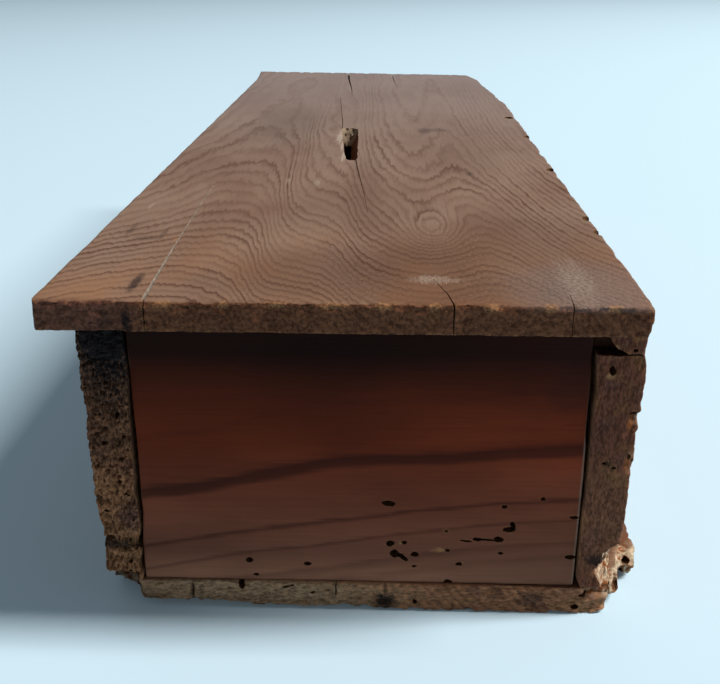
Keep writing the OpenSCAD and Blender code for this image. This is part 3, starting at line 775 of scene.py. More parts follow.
def stain(tree, place, centre, size, wobble, brokenness, strength):
    """That strength in the middle of an oval stain with a broken edge, 0 outside it."""
    away = add(tree, "ShaderNodeVectorMath", {0: place, 1: centre}, operation="SUBTRACT")
    scaled = add(tree, "ShaderNodeVectorMath", {0: away, 1: size}, operation="DIVIDE")
    reach = add(tree, "ShaderNodeVectorMath", {0: scaled}, operation="LENGTH").node.outputs["Value"]
    swing = add(tree, "ShaderNodeMath", {0: wobble, 1: 0.5}, operation="SUBTRACT")
    broken = add(tree, "ShaderNodeMath", {0: swing, 1: brokenness, 2: reach}, operation="MULTIPLY_ADD")
    return add(tree, "ShaderNodeMapRange", {0: broken, 1: STAIN_RIM, 2: STAIN_CORE, 3: 0.0, 4: strength})


def marks_from(rows, origin, finish):
    """Marks for pine from rows of tint, place, radii and strength, with places measured from an origin."""
    return [(origin + place, radii, strength, getattr(finish, tint)) for tint, place, radii, strength in rows]


def lid_rings(tree, place, low, finish):
    """Growth rings of the flat-sawn lid: arches by the lip, an eye by the back, straight lines beyond.

    Gives the rings, the strength of their lines, and tints: orange by the near end, and a painted reflection
    that greys the lid towards the far one. The end grain has no tints of its own."""
    here = add(tree, "ShaderNodeVectorMath", {0: place, 1: low}, operation="SUBTRACT")
    # Slow bends, quick wobbles, and ragged edges of the rings drawn out along the fibres
    slow = mottle(tree, here, (26, 80, 26), 0.0)
    quick = mottle(tree, here, (6, 16, 6), 1.0)
    teeth = mottle(tree, here, (1, 14, 1), 2.0)
    axes = add(tree, "ShaderNodeSeparateXYZ", {0: here}).node.outputs
    share = add(tree, "ShaderNodeMath", {0: axes["X"], 1: LID_WIDTH}, operation="DIVIDE")
    across = add(tree, "ShaderNodeFloatCurve", {"Value": share},
                 curve=[(x / LID_WIDTH, rings / LID_RINGS) for x, rings in LID_RINGS_ACROSS])
    decay = add(tree, "ShaderNodeMath", {0: axes["Y"], 1: -1 / LID_RING_RUN}, operation="MULTIPLY")
    rest = add(tree, "ShaderNodeMath", {0: decay}, operation="EXPONENT")
    away = add(tree, "ShaderNodeVectorMath", {0: here, 1: LID_EYE}, operation="SUBTRACT")
    oval = add(tree, "ShaderNodeVectorMath", {0: away, 1: LID_EYE_RADII}, operation="DIVIDE")
    flat = add(tree, "ShaderNodeVectorMath", {0: oval, 1: (1, 1, 0)}, operation="MULTIPLY")
    reach = add(tree, "ShaderNodeVectorMath", {0: flat, 1: flat}, operation="DOT_PRODUCT")
    fall = add(tree, "ShaderNodeMath", {0: reach.node.outputs["Value"], 1: -1.0}, operation="MULTIPLY")
    eye = add(tree, "ShaderNodeMath", {0: fall}, operation="EXPONENT")
    rings = -LID_RING_TEETH / 2
    for part, amount in ((across, LID_RINGS), (rest, -LID_RINGS_ALONG), (eye, LID_EYE_RINGS), (slow, 2.2),
                         (quick, 0.8), (teeth, LID_RING_TEETH), (axes["Z"], 0.35)):
        rings = add(tree, "ShaderNodeMath", {0: part, 1: amount, 2: rings}, operation="MULTIPLY_ADD")
    # The lines are clearer in patches, and fade towards the far end
    patchy = mottle(tree, here, (22, 45, 22), 2.0)
    clear = add(tree, "ShaderNodeMapRange", {0: patchy, 1: 0.35, 2: 0.62, 3: 0.5, 4: 1.0})
    fading = add(tree, "ShaderNodeMapRange", {0: axes["Y"], 1: 120.0, 2: 300.0, 3: 1.0, 4: 0.32})
    contrast = add(tree, "ShaderNodeMath", {0: clear, 1: fading}, operation="MULTIPLY")
    near = add(tree, "ShaderNodeMapRange", {0: axes["Y"], 1: 75.0, 2: 0.0, 3: 0.0, 4: 1.0})
    warm = add(tree, "ShaderNodeMapRange", {0: patchy, 1: 0.66, 2: 0.4, 3: 0.05, 4: 0.7})
    warm = add(tree, "ShaderNodeMath", {0: warm, 1: near}, operation="MULTIPLY")
    # Painted reflection: the lid greys towards its far end, as a sheen seen at a low angle does
    grey = add(tree, "ShaderNodeMapRange", {0: axes["Y"], 1: 110.0, 2: 430.0, 3: 0.0, 4: 0.75})
    return rings, contrast, ((warm, finish.lid_warm), (grey, finish.lid_grey)), ()


def round_rings(pith, spacing):
    """Ring field of a dry board: rings at that spacing around a pith along Y, at its place in X and Z."""
    def field(tree, place, low, finish):
        away = add(tree, "ShaderNodeVectorMath", {0: place, 1: pith}, operation="SUBTRACT")
        flat = add(tree, "ShaderNodeVectorMath", {0: away, 1: (1 / spacing, 0, 1 / spacing)},
                   operation="MULTIPLY")
        steady = add(tree, "ShaderNodeVectorMath", {0: flat}, operation="LENGTH").node.outputs["Value"]
        slow = mottle(tree, place, (16, 90, 16), 1.0)
        rings = add(tree, "ShaderNodeMath", {0: slow, 1: 3.0, 2: steady}, operation="MULTIPLY_ADD")
        tints = []
        # Patches half a centimetre across, each tint with its own pattern
        for shift, tint in ((0.0, finish.ochre), (40.0, finish.mauve)):
            moved = add(tree, "ShaderNodeVectorMath", {0: place, 1: (shift, shift, 0)}, operation="ADD")
            patch = mottle(tree, moved, (5, 25, 5), 3.0)
            mask = add(tree, "ShaderNodeMapRange", {0: patch, 1: 0.5, 2: 0.68, 3: 0.0, 4: 0.5})
            tints.append((mask, tint))
        return rings, 0.7, tints, tints
    return field


def pine(name, low, field, colours, finish, crumbs, marks, torn_marks=(), *, roughness, wax):
    """Old pine with its grain along Y: ring lines, fibres, blotches, open end grain, worn arrises and stains.

    colours gives earlywood, latewood, aged, arris and end colours; crumbs is the size of the crumbs of its
    end grain; a mark is its middle, radii, strength and tint, and a torn mark's edge follows the fibres;
    wax is the specular level."""
    early, late, aged, arris, end = colours
    material, tree, shader, place = blank(name)
    rings, contrast, tints, end_tints = field(tree, place, low, finish)
    phase = add(tree, "ShaderNodeMath", {0: rings}, operation="FRACT")
    number = add(tree, "ShaderNodeMath", {0: rings}, operation="FLOOR")
    chance = add(tree, "ShaderNodeTexWhiteNoise", {"W": number}, noise_dimensions="1D")
    weight = add(tree, "ShaderNodeMapRange", {0: chance, 3: 0.35, 4: 1.0})
    line = add(tree, "ShaderNodeValToRGB", {0: phase}, stops=RING_PROFILE)
    for share in (weight, contrast):
        line = add(tree, "ShaderNodeMath", {0: line, 1: share}, operation="MULTIPLY")
    # Fibres half a millimetre wide and two centimetres long, and handled patches a few centimetres long
    fibre = mottle(tree, place, (0.5, 20, 0.5), 4.0, 0.65)
    blotch = mottle(tree, place, (32, 70, 32), 4.0, 0.6)
    crumb = mottle(tree, place, crumbs, 3.0, 0.7)
    grime = add(tree, "ShaderNodeMapRange", {0: blotch, 1: 0.42, 2: 0.66, 3: 0.0, 4: 0.75})
    streak = add(tree, "ShaderNodeValToRGB", {0: fibre}, stops=((0.3, 0.95), (0.64, 1.03)))
    pores = add(tree, "ShaderNodeValToRGB", {0: crumb}, stops=((0.37, 0.48), (0.62, 1.25)))
    base = layered(tree, early, (grime, aged), *tints, (line, late), streak)
    cut = layered(tree, end, *end_tints, (line, late), pores)
    # Faces that look along the grain show its open end
    normal = add(tree, "ShaderNodeTexCoord").node.outputs["Normal"]
    facing = add(tree, "ShaderNodeVectorMath", {0: normal}, operation="ABSOLUTE")
    along = add(tree, "ShaderNodeSeparateXYZ", {0: facing}).node.outputs["Y"]
    open_end = add(tree, "ShaderNodeMapRange", {0: along, 1: 0.35, 2: 0.7})
    # Arrises are rubbed pale in flecks, and pits are darkened with grime and painted shade
    bend = add(tree, "ShaderNodeNewGeometry").node.outputs["Pointiness"]
    crown = add(tree, "ShaderNodeMapRange", {0: bend, 1: 0.53, 2: 0.62})
    flecks = add(tree, "ShaderNodeMapRange", {0: crumb, 1: 0.4, 2: 0.62})
    crown = add(tree, "ShaderNodeMath", {0: crown, 1: flecks}, operation="MULTIPLY")
    pit_grime_and_shade = add(tree, "ShaderNodeMapRange", {0: bend, 1: 0.48, 2: 0.4, 3: 1.0, 4: 0.35})
    base = layered(tree, base, (open_end, cut), (crown, arris), pit_grime_and_shade)
    for group, wobble, edge in ((marks, crumb, SOFT_EDGE), (torn_marks, fibre, TORN_EDGE)):
        for centre, size, strength, tint in group:
            mask = stain(tree, place, centre, size, wobble, edge, strength)
            base = layered(tree, base, (mask, layered(tree, tint, pores)))
    # Fresh breaks are pale, and orange in their hollows and in rotten pockets a few millimetres across
    laid_open = add(tree, "ShaderNodeAttribute", attribute_name="broken").node.outputs["Fac"]
    hollow = add(tree, "ShaderNodeMapRange", {0: bend, 1: 0.515, 2: 0.46})
    rot = mottle(tree, place, (1 / 0.33, 1 / 0.33, 1 / 0.33), 2.0)
    pocket = add(tree, "ShaderNodeMapRange", {0: rot, 1: 0.52, 2: 0.64})
    hollow = add(tree, "ShaderNodeMath", {0: hollow, 1: pocket}, operation="MAXIMUM")
    fresh = layered(tree, finish.broken, (hollow, finish.broken_deep), pores)
    base = layered(tree, base, (laid_open, fresh))
    # Raised fibres and ring lines give a faint relief, and the end grain a dull, crumbly one
    dull = add(tree, "ShaderNodeMapRange", {0: fibre, 3: roughness - 0.12, 4: roughness + 0.12})
    dull = add(tree, "ShaderNodeMix", {0: open_end, 2: dull, 3: 0.88}, data_type="FLOAT")
    thin = add(tree, "ShaderNodeMath", {0: fibre, 1: 0.3}, operation="MULTIPLY")
    relief = add(tree, "ShaderNodeMath", {0: line, 1: 0.12, 2: thin}, operation="MULTIPLY_ADD")
    relief = add(tree, "ShaderNodeMix", {0: open_end, 2: relief, 3: crumb}, data_type="FLOAT")
    bump = add(tree, "ShaderNodeBump", {"Strength": 0.6, "Distance": 0.35 * MM, "Height": relief})
    feed(tree, shader, {"Base Color": base, "Roughness": dull, "Normal": bump, "Specular IOR Level": wax})
    return material


def panel_pine(name, finish, low):
    """Waxed red pine, its grain across the box: one broad dark band, thinner ones below, purple stains,
    painted shade under the lid and painted light on its sides.
    """
    material, tree, shader, place = blank(name)
    here = add(tree, "ShaderNodeVectorMath", {0: place, 1: (low[X], 0, 0)}, operation="SUBTRACT")
    axes = add(tree, "ShaderNodeSeparateXYZ", {0: here}).node.outputs
    share = add(tree, "ShaderNodeMath", {0: axes["X"], 1: PANEL_RUN}, operation="DIVIDE")
    upper = add(tree, "ShaderNodeFloatCurve", {"Value": share}, curve=PANEL_BROAD_BAND)
    lower = add(tree, "ShaderNodeFloatCurve", {"Value": share}, curve=PANEL_THIN_BAND)
    blend = add(tree, "ShaderNodeMapRange", {0: axes["Z"], 1: 25.0, 2: 42.0})
    rise = add(tree, "ShaderNodeMix", {0: blend, 2: lower, 3: upper}, data_type="FLOAT")
    ripple = mottle(tree, place, (14, 5, 5), 2.0)
    # Fibres half a millimetre wide and two centimetres long
    fibre = mottle(tree, place, (20, 0.5, 1 / 1.8), 4.0, 0.6)
    level = axes["Z"]
    for part, amount in ((rise, -PANEL_RISE), (ripple, 1.6), (fibre, 2.0)):
        level = add(tree, "ShaderNodeMath", {0: part, 1: amount, 2: level}, operation="MULTIPLY_ADD")
    level = add(tree, "ShaderNodeMath", {0: level, 1: 0.5}, operation="ADD")
    level = add(tree, "ShaderNodeMath", {0: level, 1: 1 / PANEL_BAND_SPAN}, operation="MULTIPLY")
    bands = add(tree, "ShaderNodeValToRGB", {0: level}, stops=PANEL_BANDS)
    blotch = mottle(tree, place, (45, 20, 18), 4.0)
    foot = add(tree, "ShaderNodeMapRange", {0: axes["Z"], 1: 48.0, 2: 9.0})
    shade = add(tree, "ShaderNodeValToRGB", {0: blotch}, stops=((0.3, 0.72), (0.7, 1.15)))
    # Painted shade of the lid's overhang, with some grime: the outer faces darken towards the top, and all
    # other faces are darkened by half
    lid_shade_and_grime = add(tree, "ShaderNodeMapRange", {0: axes["Z"], 1: 44.0, 2: 71.5, 3: 1.0, 4: 0.08})
    outwards = add(tree, "ShaderNodeMath", {0: axes["Y"]}, operation="ABSOLUTE")
    outer = add(tree, "ShaderNodeMapRange", {0: outwards, 1: -low[Y] - 2, 2: -low[Y] - 0.7})
    lid_shade_and_grime = add(tree, "ShaderNodeMix", {0: outer, 2: 0.5, 3: lid_shade_and_grime}, data_type="FLOAT")
    # Painted light: lighter to the right above, where light falls from the right; at the foot lighter to the
    # left than to the right, evening out the lamp's fall across the panel
    right_side_light = add(tree, "ShaderNodeMapRange", {0: share, 1: 0.5, 2: 0.95, 3: 1.0, 4: 1.6})
    low_down = add(tree, "ShaderNodeMapRange", {0: axes["Z"], 1: 17.0, 2: 10.0})
    foot_light = add(tree, "ShaderNodeMapRange", {0: share, 1: 0.55, 2: 0.9, 3: 0.95, 4: 0.05})
    left_foot_light = add(tree, "ShaderNodeMapRange", {0: share, 1: 0.0, 2: 0.3, 3: 1.4, 4: 1.15})
    foot_light = add(tree, "ShaderNodeMath", {0: low_down, 1: foot_light, 2: left_foot_light}, operation="MULTIPLY_ADD")
    wear = add(tree, "ShaderNodeMix", {0: blend, 2: foot_light, 3: right_side_light}, data_type="FLOAT")
    streak = add(tree, "ShaderNodeValToRGB", {0: fibre}, stops=((0.3, 0.9), (0.65, 1.05)))
    # The colour is multiplied by the painted shade under the lid and by the painted light held in wear
    base = layered(tree, finish.panel_early, (foot, finish.panel_low), shade, lid_shade_and_grime, wear,
                   (bands, finish.panel_late), streak)
    for centre, size, strength in PANEL_STAINS:
        mask = stain(tree, place, centre, size, blotch, SOFT_EDGE, strength)
        base = layered(tree, base, (mask, finish.panel_stain))
    bend = add(tree, "ShaderNodeNewGeometry").node.outputs["Pointiness"]
    crown = add(tree, "ShaderNodeMapRange", {0: bend, 1: 0.53, 2: 0.64, 3: 0.0, 4: 0.7})
    # The right edge is rubbed pale below the lid's shade
    rubbed = add(tree, "ShaderNodeMapRange", {0: share, 1: 1.0005, 2: 1.0035, 3: 0.0, 4: 0.4})
    below = add(tree, "ShaderNodeMapRange", {0: axes["Z"], 1: 65.0, 2: 59.0})
    rubbed = add(tree, "ShaderNodeMath", {0: rubbed, 1: below}, operation="MULTIPLY")
    base = layered(tree, base, (crown, finish.lid_arris), (rubbed, finish.scuff))
    dull = add(tree, "ShaderNodeMapRange", {0: fibre, 3: 0.38, 4: 0.62})
    relief = add(tree, "ShaderNodeMath", {0: bands, 1: 0.4, 2: fibre}, operation="MULTIPLY_ADD")
    bump = add(tree, "ShaderNodeBump", {"Strength": 0.4, "Distance": 0.2 * MM, "Height": relief})
    feed(tree, shader, {"Base Color": base, "Roughness": dull, "Normal": bump, "Specular IOR Level": 0.06})
    return material


def eaten_pine(name, tint):
    """Raw wood inside worm holes, cracks and the slot: dull and fibrous. It is made once for each name."""
    if name in bpy.data.materials:
        return bpy.data.materials[name]
    material, tree, shader, place = blank(name)
    fibre = mottle(tree, place, (0.4, 2.5, 0.4), 3.0)
    streak = add(tree, "ShaderNodeValToRGB", {0: fibre}, stops=((0.3, 0.6), (0.7, 1.25)))
    bump = add(tree, "ShaderNodeBump", {"Strength": 0.7, "Distance": 0.4 * MM, "Height": fibre})
    feed(tree, shader, {"Base Color": layered(tree, tint, streak), "Normal": bump, "Roughness": 0.92,
                        "Specular IOR Level": 0.1})
    return material


def rusted_iron(finish):
    """Forged iron, hammered dark and rusted in patches, dull where the rust is thick. It is made once."""
    name = "rusted_forged_iron"
    if name in bpy.data.materials:
        return bpy.data.materials[name]
    material, tree, shader, place = blank(name)
    scale = mottle(tree, place, (1 / 0.7, 1 / 0.7, 1 / 0.7), 5.0, 0.7)
    rusty = add(tree, "ShaderNodeMapRange", {0: scale, 1: 0.42, 2: 0.6})
    metal = add(tree, "ShaderNodeMapRange", {0: rusty, 3: 0.85, 4: 0.1})
    dull = add(tree, "ShaderNodeMapRange", {0: rusty, 3: 0.5, 4: 0.85})
    bump = add(tree, "ShaderNodeBump", {"Strength": 0.6, "Distance": 0.2 * MM, "Height": scale})
    feed(tree, shader, {"Base Color": layered(tree, finish.iron, (rusty, finish.rust)), "Metallic": metal,
                        "Roughness": dull, "Normal": bump})
    return material


# Operators

class ALMSBOX_OT_lid_board(bpy.types.Operator):
    """Builds the worn lid with its hand-cut coin slot and its cracks"""
    bl_idname = "almsbox.lid_board"
    bl_label = "Lid Board"

    def execute(self, context):
        box = context.scene.alms_box
        low, high = board("lid_board")
        rest, faces = gridded(low, high, LID_GRID)
        points = self.worn(box.wear, low, high, rest)
        lid = solid("lid_board_worn", points, faces, self.wood(box.finish, low))
        carve(lid, *self.cutters(box, low, high))
        show(lid, "lid", "lid_board")
        return {"FINISHED"}

    def worn(self, wear, low, high, rest):
        """The lid's worn points: soft upper arrises, pitted ends, the eroded back edge and the curl."""
        from_lip = rest[:, X] - low[X]
        from_near = rest[:, Y] - low[Y]
        from_far = high[Y] - rest[:, Y]
        up = rest[:, Z] - low[Z]
        thick = high[Z] - low[Z]
        soft = wear.arris / MM * (1 + 0.5 * wander(rest, 6, 1))
        points = round_edges(rest, low, high, np.where(up > thick / 2, soft, LID_LOWER_ARRIS))
        width, depth = LIP_CORNER
        corner = depth * (1 - np.sqrt(1 - clamp(1 - from_lip / width) ** 2))
        press(points, Y, low[Y], corner, reach=30)
        # Fine pits and broad hollows in both ends, and chips along their upper arrises
        for end, away, seed in ((low[Y], from_near, 2), (high[Y], from_far, 3)):
            pits = wear.end_pits / MM * pitted(rest, LID_END_PITS, seed)
            press(points, Y, end, pits + 0.8 * eaten(rest, (9, 40, 30), 0.1, seed + 4), reach=5)
            chips = 0.9 * eaten(rest, (1.8, 4, 40), 0.0, seed + 6) * clamp(1 - away / 1.6)
            press(points, Z, high[Z], chips, reach=3)
        press(points, X, low[X], 0.2 * eaten(rest, (40, 14, 3), 0.0, 8), reach=5)
        press(points, X, high[X], clamp(1 - up / 4) * clamp(1 - from_near / 60), reach=6)
        # The back edge is eaten away towards its far end, where the corner is lost
        run = wear.back_wear_run / MM
        corner_run, corner_depth = LOST_CORNER
        share = clamp((run - from_far) / (run - corner_run))
        lost = wear.back_wear / MM * share * share * (3 - 2 * share)
        lost += corner_depth * clamp(1 - from_far / corner_run)
        ragged = eaten(rest, (40, 9, 9), -0.05, 9) + 0.5 * eaten(rest, (40, 2.5, 2.5), 0.0, 10)
        press(points, X, high[X], lost + ragged * clamp(0.35 + from_near / 300), reach=34)
        curl = clamp(1 - from_far / LID_CURL_RUN) ** 2 * np.interp(from_lip, (0, LID_WIDTH), LID_CURL)
        press(points, Z, high[Z], -curl, reach=thick)
        return points

    def wood(self, finish, low):
        """Waxed flat-sawn pine, handled to a dull sheen, with scuffs and a nail's stain."""
        colours = (finish.lid_early, finish.lid_late, finish.lid_aged, finish.lid_arris, finish.lid_end)
        flecks = [("dry_arris", (x, *FLECK_PLACE), (half, *FLECK_RADII), FLECK_STRENGTH)
                  for x, half in LID_FLECKS]
        return pine("waxed_pine_lid", low, lid_rings, colours, finish, EVEN_CRUMBS,
                    marks_from(LID_MARKS, low, finish), marks_from((*LID_SCUFFS, *flecks), low, finish),
                    roughness=0.55, wax=0.12)

    def cutters(self, box, low, high):
        """The slot, the cracks, the leaf recesses and the bites."""
        dust = eaten_pine("bore_dust", box.finish.bore_dust)
        pale = eaten_pine("crack_dust", box.finish.crack_dust)
        made = [self.slot(box, low, high)]
        cracks = [(*shape, dust) for shape in LID_CRACKS] + [(*LID_DUSTY_CRACK, pale)]
        for number, (path, widths, depths, material) in enumerate(cracks):
            places = [(low[X] + x, low[Y] + y) for x, y in path]
            made.append(crack(f"lid_crack_{number}", places, widths, depths, high[Z], material))
        made += leaf_recesses(("near_hinge_lid_leaf", "far_hinge_lid_leaf"), low[Z] - 1, low[Z] + LEAF, dust)
        bites = [(low + (x, y, BITE_HEIGHT), BITE, 0) for x, y in LID_BITES]
        made.append(placed_bores("lid_bites", bites, box.wear, dust))
        return made

    def slot(self, box, low, high):
        """The hand-cut slot, wider at its far end, where the wall is torn into a pale ramp."""
        slot = box.slot
        wall = eaten_pine("slot_wall", box.finish.slot_wall)
        torn = eaten_pine("torn_pine", box.finish.slot_torn)
        unit, faces = lattice(np.linspace(-1, 1, 9), np.linspace(0, 1, 60), np.linspace(0, 1, 13))
        share = unit[:, Y]
        middle = low[X] + (slot.near_from_lip + share * (slot.far_from_lip - slot.near_from_lip)) / MM
        half = (slot.near_width + share * (slot.far_width - slot.near_width)) / MM / 2
        # The last 7 % of each end narrows by about a third
        end_round = 1 - 0.35 * clamp(np.abs(share - 0.5) * 2 - 0.93) / 0.07
        points = np.stack([middle + unit[:, X] * half * end_round,
                           low[Y] + (slot.from_near_end + share * slot.run) / MM,
                           low[Z] - 1 + unit[:, Z] * (high[Z] - low[Z] + 2)], 1)
        points[:, X] += 0.45 * wander(points, (3, 5, 2.5), 11) * np.abs(unit[:, X])
        right_half = np.clip(unit[:, X] + 0.5, 0, 1.5) / 1.5
        points[:, X] -= SLOT_LEAN * right_half * (1 - unit[:, Z])
        tear = clamp(share * 12 - 11)
        points[:, Y] += tear * (5 * (unit[:, Z] - 1) + 1.6 * wander(points, (1.2, 30, 1.6), 12))
        opening = solid("coin_slot", points, faces, wall, torn)
        for face in opening.data.polygons:
            if all(share[v] > 0.9 for v in face.vertices):
                face.material_index = 1
        return opening


def leaf_recesses(nodes, bottom, top, material):
    """Cutters for the shallow beds that hinge leaves lie in, open at the back edge."""
    made = []
    for node in nodes:
        low, high = board(node)
        rest, faces = lattice(np.array([low[X] - BED_PLAY, high[X] + RECESS_RUN_OUT]),
                              np.array([low[Y] - BED_PLAY, high[Y] + BED_PLAY]), np.array([bottom, top]))
        made.append(solid(node + "_bed", rest, faces, material))
    return made


class ALMSBOX_OT_side_boards(bpy.types.Operator):
    """Builds the two worm-eaten side boards, the right one split and chipped"""
    bl_idname = "almsbox.side_boards"
    bl_label = "Side Boards"

    def execute(self, context):
        box = context.scene.alms_box
        self.left(box)
        self.right(box)
        return {"FINISHED"}

    def blank_board(self, node, wear, outline, gap, outer, seed, roughness):
        """A side board with worn arrises, a pitted outer face, a swollen near end and a gap by the panel."""
        low, high = board(node)
        rest, faces = gridded(low, high, SIDE_GRID)
        face, inner = (high[X], low[X]) if outer > 0 else (low[X], high[X])
        sharp = np.where(np.abs(rest[:, X] - inner) < 1, 0.4, 1)
        points = round_edges(rest, low, high, wear.arris / MM * sharp * (0.6 + 0.3 * wander(rest, 6, seed)))
        from_near = rest[:, Y] - low[Y]
        near_ends = np.exp(-from_near / END_WEAR_RUN) + np.exp(-(high[Y] - rest[:, Y]) / END_WEAR_RUN)
        # Hollows and finer furrows along the grain, deeper towards the ends
        rough = wear.face_pits / MM * eaten(rest, (20, 9, 3), 0.05, seed + 1) * (0.35 + 0.2 * near_ends)
        rough += 0.3 * eaten(rest, (20, 2, 0.9), 0, seed + 2) * near_ends
        press(points, X, face, roughness * rough, reach=4)
        swell = read_off(outline, rest[:, Z]) * clamp(1 - from_near / SWELL_RUN)
        press(points, X, face, -swell, reach=6)
        lost = read_off(gap, rest[:, Z]) + 0.3 * roughness * wander(rest, (30, 30, 1.1), seed + 5)
        press(points, X, inner, lost * clamp((GAP_RUN - from_near) / 2), reach=5)
        return low, high, rest, points, faces

    def left(self, box):
        """The left board, whose near end is eaten into layered crumbs."""
        wear, finish = box.wear, box.finish
        low, high, rest, points, faces = self.blank_board(
            "left_side_board", wear, LEFT_OUTLINE, LEFT_GAP, outer=-1, seed=21, roughness=0.5)
        for end, share, seed in ((low[Y], 1, 23), (high[Y], 0.7, 26)):
            depth = pitted(rest, LEFT_END_PITS, seed) + 0.3 * crevices(rest, (1.7, 60, 1.3), 0.15, seed + 7)
            press(points, Y, end, share * (wear.eaten_pits / MM * depth), reach=9)
        width, back, roof = FOOT_CAVITY
        foot = clamp((roof - rest[:, Z] + 0.5 * wander(rest, (2, 60, 60), 28)) / 0.7)
        foot *= clamp((low[X] + width - rest[:, X]) / 0.5)
        press(points, Y, low[Y], foot * (back + 2 * wander(rest, (1.5, 60, 1), 29)), reach=30)
        marks = marks_from(LEFT_MARKS, low, finish)
        wood = self.wood("eaten_pine_left", finish, finish.dry_end, marks, pith=(-75, 0, 300), spacing=4.0)
        piece = solid("left_side_board_worn", points, faces, wood)
        self.finish_board(piece, box, LEFT_END_HOLES, low, "left_side_board", seed=31)

    def right(self, box):
        """The right board: split under its rim, chipped at the lower outer corner, bedded for the hinges."""
        wear, finish = box.wear, box.finish
        low, high, rest, points, faces = self.blank_board(
            "right_side_board", wear, RIGHT_OUTLINE, RIGHT_GAP, outer=1, seed=41, roughness=0.3)
        for end, seed in ((low[Y], 43), (high[Y], 46)):
            press(points, Y, end, wear.eaten_pits / MM * pitted(rest, RIGHT_END_PITS, seed), reach=6)
        crumbled = clamp(1 - (high[X] - rest[:, X]) / CRUMBLED_WIDTH) * read_off(CRUMBLED, rest[:, Z])
        crumbled *= 0.6 + 0.8 * wander(rest, (1, 60, 1), 48)
        press(points, Y, low[Y], 2 * crumbled, reach=14)
        # The chip starts with a step at its edge and slopes back from there, with a torn face
        edge = read_off(CHIP_EDGE, rest[:, Z]) + 0.35 * wander(rest, (60, 60, 1.1), 49)
        beyond = np.clip(rest[:, X] - edge, 0, None)
        torn = 1 + 0.3 * wander(rest, (0.9, 60, 6), 50) + 0.15 * wander(rest, (0.6, 60, 1), 53)
        chip = clamp(beyond / 0.4) * (CHIP_STEP + CHIP_SLOPE * beyond) * torn
        press(points, Y, low[Y], chip, reach=40)
        marks = marks_from(RIGHT_MARKS, low, finish)
        wood = self.wood("dry_pine_right", finish, finish.dry_grimy, marks, pith=(100, 0, 65), spacing=1.1)
        piece = solid("right_side_board_worn", points, faces, wood)
        paint_broken(piece, 0.85 * clamp(chip / 1.5) + 0.4 * clamp(crumbled), rest)
        dust = eaten_pine("bore_dust", finish.bore_dust)
        dark = eaten_pine("stained_break", finish.dry_aged)
        # The split is a thin wavy sheet that closes towards its far end
        unit, faces = lattice(np.linspace(low[X] - 1, high[X] + 3, 18),
                              np.linspace(low[Y] - 1, low[Y] + RIM_SPLIT_RUN, 16), np.array([-1.0, 1.0]))
        open_by = 0.2 * (1 - (unit[:, Y] - low[Y] + 1) / (RIM_SPLIT_RUN + 1.5))
        unit[:, Z] = (high[Z] - RIM_SPLIT_DEPTH + 0.4 * wander(unit * (1, 1, 0), (4, 14, 1), 51)
                      + unit[:, Z] * open_by)
        split = solid("rim_split", unit, faces, dark)
        sliver = prism("lost_sliver", SLIVER, low[Y] - 2, low[Y] + SLIVER_RUN, dark)
        beds = leaf_recesses(("near_hinge_box_leaf", "far_hinge_box_leaf"), high[Z] - LEAF, high[Z] + 1, dust)
        carve(piece, split, sliver, *beds)
        self.finish_board(piece, box, RIGHT_END_HOLES, low, "right_side_board", seed=52)

    def wood(self, name, finish, end, marks, pith, spacing):
        """Dry, unwaxed pine with open, grimy end grain."""
        colours = (finish.dry_early, finish.dry_late, finish.dry_aged, finish.dry_arris, end)
        return pine(name, np.zeros(3), round_rings(pith, spacing), colours, finish, TALL_CRUMBS, marks,
                    roughness=0.75, wax=0.15)

    def finish_board(self, piece, box, end_holes, low, node, seed):
        """Cuts the worm holes and sets the board on the frame."""
        dust = eaten_pine("bore_dust", box.finish.bore_dust)
        holes = end_bores(end_holes, low[Y], END_HOLE_DEPTH)
        carve(piece, placed_bores(node + "_bores", holes, box.wear, dust))
        carve(piece, scattered_bores(piece, box.wear, dust, seed, share=1.0))
        show(piece, "box", node)


def paint_broken(piece, amount, rest):
    """Records on each point how freshly the wood is broken there, for the pine materials.

    It fades away from the near end, where rest holds the places of the points before the wear."""
    from_near = rest[:, Y] - rest[:, Y].min()
    layer = piece.data.attributes.new("broken", "FLOAT", "POINT")
    layer.data.foreach_set("value", amount * np.exp(-from_near / BROKEN_RUN))


class ALMSBOX_OT_end_panels(bpy.types.Operator):
    """Builds the two end panels, the near one with its worm holes"""
    bl_idname = "almsbox.end_panels"
    bl_label = "End Panels"

    def execute(self, context):
        box = context.scene.alms_box
        dust = eaten_pine("bore_dust", box.finish.bore_dust)
        wood = panel_pine("waxed_red_pine_panel", box.finish, board("near_end_panel")[0])
        for node, seed in (("near_end_panel", 61), ("far_end_panel", 66)):
            low, high = board(node)
            rest, faces = gridded(low, high, PANEL_GRID)
            points = round_edges(rest, low, high, 0.5 + 0.2 * wander(rest, 5, seed))
            for face in (low[Y], high[Y]):
                press(points, Y, face, 0.25 + 0.25 * wander(rest, (60, 30, 14), seed + 1), reach=4)
            if node == "near_end_panel":
                for face, edge in ((low[X], PANEL_LEFT_EDGE), (high[X], PANEL_RIGHT_EDGE)):
                    press(points, X, face, -read_off(edge, rest[:, Z]), reach=6)
            piece = solid(node + "_worn", points, faces, wood)
            if node == "near_end_panel":
                holes = end_bores(NEAR_PANEL_HOLES, low[Y], PANEL_HOLE_DEPTH)
                carve(piece, placed_bores("near_panel_bores", holes, box.wear, dust))
            else:
                carve(piece, scattered_bores(piece, box.wear, dust, seed, share=1.0))
            show(piece, "box", node)
        return {"FINISHED"}


